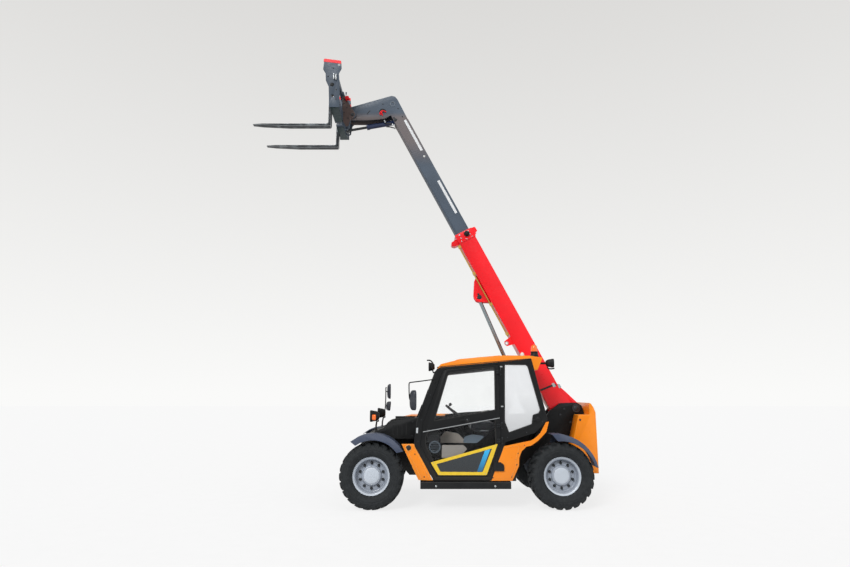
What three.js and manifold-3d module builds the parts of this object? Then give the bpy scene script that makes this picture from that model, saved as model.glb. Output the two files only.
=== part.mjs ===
// Compact telescopic handler: a side-cab machine with a two-stage lifting boom and pallet forks.
// Units are millimetres, +Z is up, the forks point along -X and the cab is on the -Y side.
// X is measured from the front axle here; the finished group is moved so that its origin lies
// under the middle of the machine, on the ground.
import * as THREE from 'three';
import { mergeVertices } from 'three/addons/utils/BufferGeometryUtils.js';
import Module from 'manifold-3d';

const wasm = await Module();
wasm.setup();

// ---------------------------------------------------------------- driving sizes
const WHEELBASE = 2450;
const TYRE_R = 417.5;
const TYRE_W = 310;
const WHEEL_Y = 765;            // middle plane of each tyre
const KINGPIN_Y = 620;
const AXLE_Z = TYRE_R;
const FIT = 0.35;               // space left between pieces that touch
const PIN_FIT = 0.4;            // space around a pin or a rod
const SIDES = 16;               // flats on a pin

const BOOM_Y = 50;              // the boom runs a little to the right of the middle
const BOOM_ANGLE = THREE.MathUtils.degToRad(62.6);
const PIVOT = { x: WHEELBASE + 418, z: 1250 };
const OUTER = { u0: 100, u1: 3090, top: -60, bottom: -330, half: 115, wall: 9 };
const INNER = { u0: 2350, u1: 5160, half: 90, depth: 214, wall: 8 };
const BOOM_MID = (OUTER.top + OUTER.bottom) / 2;
const PIVOT_PIN_R = 35;

const PLATE = 24;               // main frame plates
const PLATE_GAP = 6;            // between boom side and frame plate
const CAB_SIDE = -880;          // outer face of the cab
const CAB_INNER = -110;         // face of the cab beside the boom
const CAB_WALL = 50;
const CAB_SKIN = 46;            // depth of the cab members, seen from the side
const CAB_FLOOR = 365;         // underside of the cab
const GLASS = 6;

const LIFT = { base: { x: WHEELBASE - 20, z: 660 }, u: 2079, v: -455, barrel: 1450, r: 55, rodR: 28, rodStart: 900 };
const TILT = { u: INNER.u1 + 76, v: -280, barrel: 470, r: 38, rodR: 20, rodStart: 200, half: 34 };
const HEAD_PIN = { u: INNER.u1 + 460, v: -850 };
const CARRIAGE_EYE = { x: -85, z: -222 };   // the tilt rod's eye, from the carriage pivot
const CARRIAGE_PIN_R = 28;

// ---------------------------------------------------------------- materials
const paint = (color, roughness = 0.5, metalness = 0.1) =>
  new THREE.MeshStandardMaterial({ color, roughness, metalness });
const MAT = {
  orange: paint(0xff8c00, 0.45), red: paint(0xf5101f, 0.45), slate: paint(0x4a5560, 0.55),
  black: paint(0x17191b, 0.55), rubber: paint(0x1c2022, 0.85, 0), rim: paint(0x9aa3b0, 0.4, 0.5),
  fender: paint(0x4a5268, 0.6, 0), chrome: paint(0xc8ccd0, 0.15, 1), navy: paint(0x27324f, 0.4),
  zinc: paint(0xb89a4a, 0.35, 0.9), fabric: paint(0x2a2c30, 0.9, 0), steel: paint(0x3a3f44, 0.5, 0.6),
  glass: new THREE.MeshStandardMaterial({ color: 0x90a0a8, roughness: 0.05, transparent: true, opacity: 0.35 }),
  amber: paint(0xff7a00, 0.25, 0), lamp: paint(0x23272b, 0.4, 0),
};

// ---------------------------------------------------------------- small geometry kit
const V = (x, y, z) => new THREE.Vector3(x, y, z);

/** Closed solid from a three.js geometry. */
function solid(geometry) {
  const bare = geometry.index ? geometry.clone() : geometry;
  bare.deleteAttribute('normal');
  bare.deleteAttribute('uv');
  const merged = mergeVertices(bare, 1e-3);
  return new wasm.Manifold(new wasm.Mesh({
    numProp: 3,
    vertProperties: new Float32Array(merged.attributes.position.array),
    triVerts: new Uint32Array(merged.index.array),
  }));
}

const area = (pts) => pts.reduce((s, [a, b], i) => {
  const [c, d] = pts[(i + 1) % pts.length];
  return s + (a * d - c * b) / 2;
}, 0);

/** Outline moved inwards by d (outwards if d is negative). */
function inset(points, d) {
  const pts = area(points) > 0 ? points : [...points].reverse();
  const n = pts.length;
  return pts.map((p, i) => {
    const a = pts[(i + n - 1) % n], b = pts[(i + 1) % n];
    const e1 = norm([p[0] - a[0], p[1] - a[1]]), e2 = norm([b[0] - p[0], b[1] - p[1]]);
    const n1 = [-e1[1], e1[0]], n2 = [-e2[1], e2[0]];
    const k = 1 + n1[0] * n2[0] + n1[1] * n2[1];
    return [p[0] + d * (n1[0] + n2[0]) / k, p[1] + d * (n1[1] + n2[1]) / k];
  });
}
const norm = ([x, y]) => { const l = Math.hypot(x, y); return [x / l, y / l]; };

function extrude(points, depth) {
  const shape = new THREE.Shape(points.map(([a, b]) => new THREE.Vector2(a, b)));
  return new THREE.ExtrudeGeometry(shape, { depth, bevelEnabled: false, curveSegments: 12 });
}
/** Side outline (X, Z) made solid from y0 to y1. */
function side(points, y0, y1) {
  return solid(extrude(points, y1 - y0).rotateX(Math.PI / 2).translate(0, y1, 0));
}
/** Plan outline (X, Y) made solid from z0 to z1. */
const plan = (points, z0, z1) => solid(extrude(points, z1 - z0).translate(0, 0, z0));
/** Front outline (Y, Z) made solid from x0 to x1. */
function front(points, x0, x1) {
  const turn = new THREE.Matrix4().makeBasis(V(0, 1, 0), V(0, 0, 1), V(1, 0, 0));
  return solid(extrude(points, x1 - x0).applyMatrix4(turn).translate(x0, 0, 0));
}
function box(x0, x1, y0, y1, z0, z1) {
  return solid(new THREE.BoxGeometry(x1 - x0, y1 - y0, z1 - z0)
    .translate((x0 + x1) / 2, (y0 + y1) / 2, (z0 + z1) / 2));
}
/** Round bar between two points. */
function bar(p, q, r, sides = SIDES, r2 = r) {
  const d = new THREE.Vector3().subVectors(q, p);
  const geo = new THREE.CylinderGeometry(r2, r, d.length(), sides);
  geo.applyQuaternion(new THREE.Quaternion().setFromUnitVectors(V(0, 1, 0), d.clone().normalize()));
  return solid(geo.translate((p.x + q.x) / 2, (p.y + q.y) / 2, (p.z + q.z) / 2));
}
/** Radius of a many-sided hole that clears a pin at any angle. */
const bore = (r, sides = SIDES) => (r + PIN_FIT) / Math.cos(Math.PI / sides);
const across = (x, z, r, y0, y1, sides = SIDES) => bar(V(x, y0, z), V(x, y1, z), r, sides);
const upright = (x, y, r, z0, z1, sides = SIDES) => bar(V(x, y, z0), V(x, y, z1), r, sides);
const join = (...parts) => parts.reduce((a, b) => a.add(b));
const cut = (body, ...tools) => tools.reduce((a, b) => a.subtract(b), body);
/** Solid turned about the axle line: profile of [radius, sideways] points, closed or from axis to axis. */
function turned(profile, sides) {
  const geo = new THREE.LatheGeometry(profile.map(([r, y]) => new THREE.Vector2(r, y)), sides);
  const body = solid(geo);
  return body.volume() < 0 ? solid(flip(geo)) : body;
}
function flip(geo) {
  const i = geo.index.array;
  for (let k = 0; k < i.length; k += 3) [i[k], i[k + 1]] = [i[k + 1], i[k]];
  return geo;
}
/** Points on an arc seen from the side, from angle a0 to a1 in degrees. */
function arc(cx, cz, r, a0, a1, steps) {
  return Array.from({ length: steps + 1 }, (_, i) => {
    const a = THREE.MathUtils.degToRad(a0 + (a1 - a0) * i / steps);
    return [cx + r * Math.cos(a), cz + r * Math.sin(a)];
  });
}

const machine = new THREE.Group();
function put(name, body, material, parent = machine) {
  const m = body.getMesh();
  const geo = new THREE.BufferGeometry();
  geo.setAttribute('position', new THREE.BufferAttribute(new Float32Array(m.vertProperties), 3));
  geo.setIndex(new THREE.BufferAttribute(new Uint32Array(m.triVerts), 1));
  const mesh = new THREE.Mesh(geo, material);
  mesh.name = name;
  parent.add(mesh);
  return mesh;
}
const mirrorY = (body) => body.mirror([0, 1, 0]);

// ---------------------------------------------------------------- chassis
const plateY = [BOOM_Y - OUTER.half - PLATE_GAP, BOOM_Y + OUTER.half + PLATE_GAP];
const FRAME_L = plateY[0] - PLATE, FRAME_R = plateY[1] + PLATE;
/** Side outline whose X is measured from the rear axle. */
const behind = (points) => points.map(([x, z]) => [WHEELBASE + x, z]);
const TAIL = WHEELBASE + 525;    // rear end of the frame plates
const PLATE_OUTLINE = [
  [-190, 565], [-190, 872], [560, 872], [640, 700], ...behind([[-270, 700], [-50, 1100], [50, 1225], [190, 1322],
    [430, 1330], [500, 1290], [525, 1220], [525, 565], [-270, 565], [-490, 330]]), [470, 330], [260, 565],
];
const BEAM = { z0: 300, z1: CAB_FLOOR - FIT };
function chassis() {
  const plates = [side(PLATE_OUTLINE, FRAME_L, plateY[0]), side(PLATE_OUTLINE, plateY[1], FRAME_R)];
  const floor = box(470, WHEELBASE - 490, FRAME_L, FRAME_R, 330, 342);
  const nose = box(-190, -176, FRAME_L, FRAME_R, 565, 770);
  const tail = box(TAIL - 15, TAIL, FRAME_L, FRAME_R, 565, 1120);
  const ties = [box(500, 620, FRAME_L, FRAME_R, 340, 470), box(1800, 1920, FRAME_L, FRAME_R, 340, 470),
    across(60, 640, 40, FRAME_L, FRAME_R), across(WHEELBASE + 250, 620, 40, FRAME_L, FRAME_R)];
  const beams = [[820, 900], [1560, 1640]].flatMap(([a, b]) => [
    box(a, b, -700, FRAME_L + 5, BEAM.z0, BEAM.z1), box(a, b, FRAME_R - 5, 840, BEAM.z0, BEAM.z1)]);
  const links = [[820, 900], [1560, 1640]].map(([a, b]) => box(a, b, FRAME_L, FRAME_R, BEAM.z0, 345));
  const pins = [across(PIVOT.x, PIVOT.z, PIVOT_PIN_R, FRAME_L - 18, FRAME_R + 18),
    across(PIVOT.x, PIVOT.z, 62, FRAME_L - 10, FRAME_L + 5), across(PIVOT.x, PIVOT.z, 62, FRAME_R - 5, FRAME_R + 10),
    across(LIFT.base.x, LIFT.base.z, CARRIAGE_PIN_R, FRAME_L, FRAME_R)];
  return join(...plates, floor, nose, tail, ...ties, ...beams, ...links, ...pins);
}


const WALL_Y = FRAME_R - 6;
const CAB = [[561, 780], [546, 825], [584, 1101], [828, 1746], [848, 1778], [900, 1800], [2105, 1910], [2286, 1150],
  [2290, 1122], [2122, 958], [1734, 842], [1540, CAB_FLOOR], [800, CAB_FLOOR]];
const cabSpace = side(inset(CAB, -FIT), CAB_SIDE - 50, CAB_INNER + 50);
const overGap = (body) => cut(body, cabSpace);
const tank = overGap(box(1600, 1860, CAB_SIDE + 24 + FIT, FRAME_L + 5, 356, 700));
put('chassis_frame', join(overGap(chassis()), box(250, 2290, WALL_Y, FRAME_R, 560, 1128), tank), MAT.black);

// ---------------------------------------------------------------- axles, knuckles and wheels
const YOKE = { in: 505, wall: 530, out: 650, z: 95.5, thick: 28, half: 60 };
function axleHousing(x) {
  const half = (s) => {
    const y = (v) => s * v;
    const span = (a, b) => [Math.min(y(a), y(b)), Math.max(y(a), y(b))];
    const blk = (x0, x1, a, b, z0, z1) => box(x0, x1, ...span(a, b), z0, z1);
    return join(
      bar(V(x, y(100), AXLE_Z), V(x, y(YOKE.in + 5), AXLE_Z), 72, 20, 60),
      blk(x - YOKE.half, x + YOKE.half, YOKE.in, YOKE.wall, AXLE_Z - YOKE.z - YOKE.thick, AXLE_Z + YOKE.z + YOKE.thick),
      blk(x - YOKE.half + 8, x + YOKE.half - 8, YOKE.wall - 3, YOKE.out, AXLE_Z + YOKE.z, AXLE_Z + YOKE.z + YOKE.thick),
      blk(x - YOKE.half + 8, x + YOKE.half - 8, YOKE.wall - 3, YOKE.out, AXLE_Z - YOKE.z - YOKE.thick, AXLE_Z - YOKE.z));
  };
  const middle = solid(new THREE.SphereGeometry(128, 20, 12).translate(x, BOOM_Y, AXLE_Z));
  return join(half(1), half(-1), across(x, AXLE_Z, 70, -120, 120, 20), middle,
    box(x - 55, x + 55, FRAME_L, FRAME_R, AXLE_Z, 565 - FIT));
}
put('front_axle', axleHousing(0), MAT.black);
put('rear_axle', axleHousing(WHEELBASE), MAT.black);

const ARM = 165;                 // steering arm, king pin to rod end
const HUB_FACE = 60;             // inboard face of the hub, from the tyre's middle plane
const BRACKET_X = [-142, -108];
const POST = { in: WHEEL_Y - TYRE_W / 2 - 32, out: WHEEL_Y - TYRE_W / 2 - 10 };   // fender post, just inboard of the tyre
function knuckle(x, s, withFenderArm) {
  const span = (a, b) => [Math.min(s * a, s * b), Math.max(s * a, s * b)];
  const face = WHEEL_Y - HUB_FACE - FIT;
  const parts = [
    upright(x, s * KINGPIN_Y, 50, AXLE_Z - YOKE.z + FIT, AXLE_Z + YOKE.z - FIT),
    across(x, AXLE_Z, 88, ...span(KINGPIN_Y + 18, face)),
    box(x, x + ARM, ...span(KINGPIN_Y - 20, KINGPIN_Y + 20), AXLE_Z - 40, AXLE_Z - 15),
    upright(x + ARM, s * KINGPIN_Y, 24, AXLE_Z - 40, AXLE_Z - 15),
  ];
  if (withFenderArm) {
    parts.push(box(x + BRACKET_X[0], x, ...span(POST.in, Math.max(POST.out, KINGPIN_Y - 20)), AXLE_Z - 15, AXLE_Z + 13));
  }
  return join(...parts);
}
function trackRod(x) {
  const z = AXLE_Z - 15 + PIN_FIT;
  const y = KINGPIN_Y;
  return join(bar(V(x + ARM, -y, z + 15), V(x + ARM, y, z + 15), 13, 12),
    upright(x + ARM, -y, 17, z, z + 26, 16), upright(x + ARM, y, 17, z, z + 26, 16));
}
// Profiles of [radius, sideways]; the flanges and the tyre's walls follow the tyre's width and radius.
const HALF = TYRE_W / 2, BEAD = 212;
const RIM = [[0, 62], [98, 62], [107, 52], [107, 36], [170, 34], [200, 26], [200, HALF - 39], [236, HALF - 33],
  [238, HALF - 43], [BEAD, HALF - 51], [BEAD, 51 - HALF], [238, 43 - HALF], [236, 33 - HALF], [200, 39 - HALF],
  [200, 8], [165, 14], [95, 14], [95, -HUB_FACE], [0, -HUB_FACE]];
const WALL = [[BEAD + 0.6, HALF - 52], [240, HALF - 44.6], [262, HALF - 17], [TYRE_R - 107.5, HALF - 1], [TYRE_R - 57.5, HALF],
  [TYRE_R - 17.5, HALF - 14], [TYRE_R - 3.5, HALF - 37], [TYRE_R, HALF - 95]];
const TYRE = [...WALL, ...WALL.map(([r, y]) => [r, -y]).reverse()];
const WHEEL_SIDES = 24;
function wheel(profile, x, s) {
  const closed = profile[0][0] === 0 ? profile : [...profile, profile[0]];
  let body = turned(closed, WHEEL_SIDES);
  if (s < 0) body = mirrorY(body);
  return body.translate([x, s * WHEEL_Y, AXLE_Z]);
}
for (const [end, x] of [['front', 0], ['rear', WHEELBASE]]) {
  for (const [hand, s] of [['left', -1], ['right', 1]]) {
    put(`${end}_${hand}_knuckle`, knuckle(x, s, end === 'rear'), MAT.steel);
    put(`${end}_${hand}_rim`, wheel(RIM, x, s), MAT.rim);
    put(`${end}_${hand}_tyre`, wheel(TYRE, x, s), MAT.rubber);
  }
  put(`${end}_track_rod`, trackRod(x), MAT.steel);
}

// ---------------------------------------------------------------- fenders
const HOOD_SIDE = WHEEL_Y - HALF - 10;     // side face of the front hoods, just inboard of the tyre
const FENDER = { in: WHEEL_Y - HALF + 20, out: WHEEL_Y + HALF, thick: 8 };
/** Arched cover over a wheel with a deep lip on its outer side, and what it stands on. */
function fender(top, lip, s, support) {
  const span = (a, b) => [Math.min(s * a, s * b), Math.max(s * a, s * b)];
  const [cx, cz, r, a0, a1] = top;
  const crown = arc(cx, cz, r, a0, a1, 9);
  const shell = [...crown, ...arc(cx, cz, r - FENDER.thick, a1, a0, 9)];
  const skirt = [...crown, ...arc(...lip, 9)];
  return join(side(shell, ...span(FENDER.in, FENDER.out)), side(skirt, ...span(FENDER.out - 8, FENDER.out)), support(span));
}
for (const [hand, s] of [['left', -1], ['right', 1]]) {
  const tab = (span) => box(-40, 90, ...span(HOOD_SIDE + FIT, FENDER.in + 60), 905, 937);
  put(`front_${hand}_fender`, fender([13, 481, 466, 32, 128], [13, 481, 385, 125, 36], s, tab), MAT.fender);
  const post = (span) => {
    const z = AXLE_Z + 13 + FIT;
    const outline = [[-142, z], [-108, z], [-108, 600], [40, 870], [40, 935], [-40, 935], [-142, 660]]
      .map(([a, b]) => [WHEELBASE + a, b]);
    return join(side(outline, ...span(POST.in, POST.out)),
      box(WHEELBASE - 60, WHEELBASE + 40, ...span(POST.in, FENDER.in + 60), 905, 932));
  };
  put(`rear_${hand}_fender`, fender([WHEELBASE - 59, 412, 531, 12.5, 96.5], [WHEELBASE, AXLE_Z, 437, 96, 15], s, post), MAT.fender);
}

// ---------------------------------------------------------------- boom
/** Group whose -X runs along a member rising at the given angle, with its origin on the member's pin. */
function memberGroup(x, z, angle, parent = machine) {
  const g = new THREE.Group();
  g.position.set(x, 0, z);
  g.rotation.y = angle;
  parent.add(g);
  return g;
}
const boomGroup = memberGroup(PIVOT.x, PIVOT.z, BOOM_ANGLE);
const uv = (pts) => pts.map(([u, v]) => [-u, v]);
const boomPlate = (pts, y0, y1) => side(uv(pts), BOOM_Y + y0, BOOM_Y + y1);
function tube(u0, u1, half, top, bottom, wall) {
  return cut(box(-u1, -u0, BOOM_Y - half, BOOM_Y + half, bottom, top),
    box(-u1 - 1, -u0 + 1, BOOM_Y - half + wall, BOOM_Y + half - wall, bottom + wall, top - wall));
}
/** A plate outline repeated on both sides of the boom's middle plane. */
const twin = (pts, a, b) => join(boomPlate(pts, a, b), boomPlate(pts, -b, -a));
const LIFT_EAR = { in: 38, out: 56 };
function outerBoom() {
  const { u0, u1, half, top, bottom, wall } = OUTER;
  const ears = twin([[430, -70], [270, -8], [120, 42], [30, 74], [-50, 58], [-76, 0], [-55, -55], [50, -235],
    [95, -300], [130, bottom], [430, bottom]], half - 20, half);
  const passage = box(-440, -320, BOOM_Y - half + wall, BOOM_Y + half - wall, bottom + wall, top - wall);
  const collar = cut(boomPlate([[2940, top + 8], [u1 - 6, top + 8], [u1, top], [u1, bottom], [u1 - 6, bottom - 8],
    [2940, bottom - 8]], -half - 8, half + 8),
  box(-u1 - 1, -2900, BOOM_Y - half + wall, BOOM_Y + half - wall, bottom + wall, top - wall));
  const pad = (BOOM_MID + INNER.depth / 2);
  const padLow = (BOOM_MID - INNER.depth / 2);
  const pads = [
    box(-3080, -2990, BOOM_Y - 60, BOOM_Y + 60, pad + PIN_FIT, top - wall + 1),
    box(-3080, -2990, BOOM_Y - 60, BOOM_Y + 60, bottom + wall - 1, padLow - PIN_FIT),
    box(-3080, -2990, BOOM_Y + INNER.half + PIN_FIT, BOOM_Y + half - wall + 1, BOOM_MID - 70, BOOM_MID + 70),
    box(-3080, -2990, BOOM_Y - half + wall - 1, BOOM_Y - INNER.half - PIN_FIT, BOOM_MID - 70, BOOM_MID + 70)];
  const liftEars = twin([[2390, bottom + 4], [2340, bottom - 60], [2150, -505], [2110, -520], [2050, -515], [2010, -480],
    [1960, -385], [1925, bottom + 4]], LIFT_EAR.in, LIFT_EAR.out);
  const smallLug = boomPlate([[1340, bottom + 4], [1320, -440], [1295, -455], [1265, -455], [1240, -440], [1215, bottom + 4]], -98, -84);
  const topLug = twin([[3090, top], [3085, 5], [3065, 14], [3010, 14], [2975, top]], 70, 86);
  const roller = boomPlate([[3040, bottom - 6], [3030, -420], [3005, -440], [2975, -440], [2950, -410], [2940, bottom - 6]], -60, 60);
  const holes = [across(0, 0, bore(PIVOT_PIN_R), -200, 300),
    across(-LIFT.u, LIFT.v, 30, -200, 300), across(-1280, -425, 16, -200, 300, 16)];
  const body = join(tube(u0, u1, half, top, bottom, wall), cut(ears, passage), collar, liftEars, smallLug, topLug, roller, ...pads);
  return cut(body, ...holes);
}
put('boom_outer', outerBoom(), MAT.red, boomGroup);

function pipes() {
  const y = [BOOM_Y - 96, BOOM_Y - 72];
  const runs = y.map((v) => bar(V(-1360, v, -356), V(-2930, v, -356), 9, 10));
  const clamps = [1400, 1900, 2430, 2900].map((u) =>
    box(-u - 20, -u + 20, BOOM_Y - 110, BOOM_Y - 60, -372, OUTER.bottom - FIT));
  return join(...runs, ...clamps);
}
put('boom_pipes', pipes(), MAT.zinc, boomGroup);

/** Boom outline whose length is measured from the end of the inner tube. */
const ahead = (points) => points.map(([u, v]) => [INNER.u1 + u, v]);
const HEAD = ahead([[-10, -92], [380, -84], [440, -96], [480, -140], [600, -800], [590, -850], [540, -905],
  [450, -930], [400, -905], [288, -692], [212, -520], [179, -420], [179, -304], [-10, -304]]);
function innerBoom() {
  const top = BOOM_MID + INNER.depth / 2, bottom = BOOM_MID - INNER.depth / 2;
  const body = tube(INNER.u0, INNER.u1, INNER.half, top, bottom, INNER.wall);
  const inTop = OUTER.top - OUTER.wall - PIN_FIT, inBottom = OUTER.bottom + OUTER.wall + PIN_FIT;
  const inHalf = OUTER.half - OUTER.wall - PIN_FIT;
  const pads = [box(-2440, -2360, BOOM_Y - 60, BOOM_Y + 60, top - 1, inTop),
    box(-2440, -2360, BOOM_Y - 60, BOOM_Y + 60, inBottom, bottom + 1),
    box(-2440, -2360, BOOM_Y + INNER.half - 1, BOOM_Y + inHalf, BOOM_MID - 70, BOOM_MID + 70),
    box(-2440, -2360, BOOM_Y - inHalf, BOOM_Y - INNER.half + 1, BOOM_MID - 70, BOOM_MID + 70)];
  return join(body, ...pads);
}
const HEAD_WALL = 12;
function boomHead() {
  const hollow = boomPlate(ahead([[16, -108], [376, -100], [430, -112], [464, -146], [584, -800], [640, -1000],
    [240, -1000], [90, -600], [40, -400], [16, -400]]), -INNER.half + HEAD_WALL, INNER.half - HEAD_WALL);
  const boss = across(-HEAD_PIN.u, HEAD_PIN.v, 62, BOOM_Y - INNER.half, BOOM_Y - INNER.half + HEAD_WALL);
  const boss2 = across(-HEAD_PIN.u, HEAD_PIN.v, 62, BOOM_Y + INNER.half - HEAD_WALL, BOOM_Y + INNER.half);
  const pin = across(-TILT.u, TILT.v, 20, BOOM_Y - INNER.half, BOOM_Y + INNER.half);
  return cut(join(cut(boomPlate(HEAD, -INNER.half, INNER.half), hollow), boss, boss2, pin),
    across(-HEAD_PIN.u, HEAD_PIN.v, bore(CARRIAGE_PIN_R), -200, 300));
}
put('boom_inner', innerBoom().add(boomHead()), MAT.slate, boomGroup);

// ---------------------------------------------------------------- carriage and forks
const place = (u, v) => ({
  x: PIVOT.x - u * Math.cos(BOOM_ANGLE) + v * Math.sin(BOOM_ANGLE),
  z: PIVOT.z + u * Math.sin(BOOM_ANGLE) + v * Math.cos(BOOM_ANGLE),
});
const C = place(HEAD_PIN.u, HEAD_PIN.v);
const carriageGroup = new THREE.Group();
carriageGroup.position.set(C.x, 0, C.z);
machine.add(carriageGroup);
// From here X and Z are measured from the carriage pivot.
const CAR = { half: 572, plate: 16, slot: TILT.half + 8, shaft: { x: -262, z: 262, r: 30 } };
const EAR = { in: 96, out: 114 };
function carriage() {
  const sidePlate = [[-402, 700], [-398, 640], [-408, 520], [-368, 452], [-360, 330], [-314, 230], [-296, -110],
    [-140, -110], [-147, 265], [-164, 452], [-124, 537], [-135, 662]];
  const plates = [side(sidePlate, BOOM_Y - CAR.half, BOOM_Y - CAR.half + CAR.plate),
    side(sidePlate, BOOM_Y + CAR.half - CAR.plate, BOOM_Y + CAR.half)];
  const y0 = BOOM_Y - CAR.half + 4, y1 = BOOM_Y + CAR.half - 4;
  const slot = box(-290, -140, BOOM_Y - CAR.slot, BOOM_Y + CAR.slot, -120, 50);
  const bars = [cut(join(box(-284, -150, y0, y1, -110, -88), box(-176, -150, y0, y1, -110, 40)), slot),
    box(-212, -168, y0, y1, 330, 400), across(CAR.shaft.x, CAR.shaft.z, CAR.shaft.r, y0, y1)];
  const ears = [side(EAR_OUTLINE, BOOM_Y - EAR.out, BOOM_Y - EAR.in), side(EAR_OUTLINE, BOOM_Y + EAR.in, BOOM_Y + EAR.out)];
  // Two short pins leave the middle open, where the tilt rod passes when the forks are raised.
  const pins = [-1, 1].map((s) => across(0, 0, CARRIAGE_PIN_R, ...[INNER.half - HEAD_WALL, EAR.out + 8]
    .map((v) => BOOM_Y + s * v).sort((a, b) => a - b)));
  return cut(join(...plates, ...bars, ...ears, ...pins),
    across(CARRIAGE_EYE.x, CARRIAGE_EYE.z, 20, -400, 500), across(-250, 78, 22, BOOM_Y - CAR.half - 5, BOOM_Y - CAR.half + 40, 16),
    across(-250, 78, 22, BOOM_Y + CAR.half - 40, BOOM_Y + CAR.half + 5, 16));
}
const EAR_OUTLINE = [[-172, 402], [-172, -108], [CARRIAGE_EYE.x - 38, CARRIAGE_EYE.z - 30], [CARRIAGE_EYE.x, CARRIAGE_EYE.z - 42],
  [CARRIAGE_EYE.x + 38, CARRIAGE_EYE.z - 18], [-20, -60], [30, -50], [54, -20], [54, 22], [30, 54], [-110, 270], [-150, 402]];
put('carriage', carriage(), MAT.slate, carriageGroup);

const FORK = { y: 385, w: 100, tip: -1495, heel: -329, thick: 42, bottom: -352 };
function fork(s) {
  const y = BOOM_Y + s * FORK.y;
  const back = -284 - FIT;
  const top = FORK.bottom + FORK.thick;
  const shape = [[FORK.tip, top - 4], [FORK.tip + 6, top - 14], [FORK.tip + 560, FORK.bottom],
    [back - 22, FORK.bottom], [back - 6, FORK.bottom + 6], [back, FORK.bottom + 22], [back, 200], [CAR.shaft.x + 30, 214],
    [CAR.shaft.x + 52, 262], [CAR.shaft.x + 36, 300], [CAR.shaft.x, 318], [CAR.shaft.x - 40, 306], [back - 44, 262],
    [back - 44, top + 18], [back - 60, top], [FORK.tip + 8, top]];
  const half = FORK.w / 2;
  const blade = side(shape, y - half, y + half);
  const tip = plan([[FORK.tip - 5, y - 26], [FORK.tip + 160, y - half - 1], [back + 200, y - half - 1], [back + 200, y + half + 1],
    [FORK.tip + 160, y + half + 1], [FORK.tip - 5, y + 26]], -500, 500);
  return cut(blade.intersect(tip), across(CAR.shaft.x, CAR.shaft.z, CAR.shaft.r + PIN_FIT, y - 100, y + 100));
}
put('fork_left', fork(-1), MAT.steel, carriageGroup);
put('fork_right', fork(1), MAT.steel, carriageGroup);

// ---------------------------------------------------------------- hydraulic cylinders
/** Angle of the line from a to b above the -X direction, and its length. */
const aim = (a, b) => ({ angle: Math.atan2(b.z - a.z, a.x - b.x), length: Math.hypot(b.x - a.x, b.z - a.z) });
function barrel(c, eyeR, pinR, half) {
  const body = join(bar(V(-eyeR * 0.6, BOOM_Y, 0), V(-c.barrel, BOOM_Y, 0), c.r), across(0, 0, eyeR, BOOM_Y - half, BOOM_Y + half),
    bar(V(-c.barrel + 50, BOOM_Y, 0), V(-c.barrel, BOOM_Y, 0), c.r + 6));
  return cut(body, bar(V(-eyeR - 60, BOOM_Y, 0), V(-c.barrel - 10, BOOM_Y, 0), c.rodR + PIN_FIT),
    across(0, 0, bore(pinR), -200, 300));
}
function rod(c, length, eyeR, hole, half) {
  return cut(join(bar(V(-c.rodStart, BOOM_Y, 0), V(-length + eyeR * 0.5, BOOM_Y, 0), c.rodR),
    across(-length, 0, eyeR, BOOM_Y - half, BOOM_Y + half)), across(-length, 0, hole, -200, 300));
}
const liftTop = place(LIFT.u, LIFT.v);
const lift = aim(LIFT.base, liftTop);
const liftGroup = memberGroup(LIFT.base.x, LIFT.base.z, lift.angle);
put('lift_cylinder_barrel', barrel(LIFT, 58, CARRIAGE_PIN_R, 40), MAT.black, liftGroup);
put('lift_cylinder_rod', rod(LIFT, lift.length, 46, 28, LIFT_EAR.in - 8), MAT.chrome, liftGroup);

const tiltBase = place(TILT.u, TILT.v);
const tiltEnd = { x: C.x + CARRIAGE_EYE.x, z: C.z + CARRIAGE_EYE.z };
const tilt = aim(tiltBase, tiltEnd);
const tiltGroup = memberGroup(tiltBase.x, tiltBase.z, tilt.angle);
put('tilt_cylinder_barrel', barrel(TILT, 40, 20, TILT.half), MAT.navy, tiltGroup);
put('tilt_cylinder_rod', rod(TILT, tilt.length, 34, 20, TILT.half), MAT.chrome, tiltGroup);

// ---------------------------------------------------------------- cab
const DOORWAY = [[624, 800], [658, 1078], [905, 1714], [930, 1752], [968, 1774], [1664, 1842], [1676, 822], [1505, 412], [838, 412]];
const DOOR_UPPER = [[806, 1104], [986, 1690], [1000, 1712], [1024, 1726], [1590, 1798], [1614, 1782], [1609, 1246]];
const DOOR_LOWER = [[700, 800], [697, 900], [740, 978], [1604, 1130], [1610, 820], [1458, 466], [868, 466]];
const QUARTER = [[1742, 1842], [2032, 1838], [2058, 1815], [2204, 1245], [2178, 1200], [2105, 1180], [2086, 1062], [1778, 955], [1724, 1100]];
const RIGHT_WINDOW = [[836, 1140], [1000, 1700], [1024, 1726], [1640, 1790], [2030, 1800], [2060, 1775], [2196, 1250], [2110, 1170], [1000, 1120]];
const SCREEN = { y0: CAB_SIDE + CAB_WALL, y1: CAB_INNER - CAB_WALL, z0: 960, z1: 1735 };
const REAR_SCREEN = { ...SCREEN, z0: 1180, z1: 1760 };
const cabInside = side(inset(CAB, CAB_SKIN), CAB_SIDE + CAB_WALL, CAB_INNER - CAB_WALL);
const frontHole = (g) => box(300, 1000, SCREEN.y0 + g, SCREEN.y1 - g, SCREEN.z0 + g, SCREEN.z1 - g);
const rearHole = (g) => box(1980, 2400, REAR_SCREEN.y0 + g, REAR_SCREEN.y1 - g, REAR_SCREEN.z0 + g, REAR_SCREEN.z1 - g);
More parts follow.
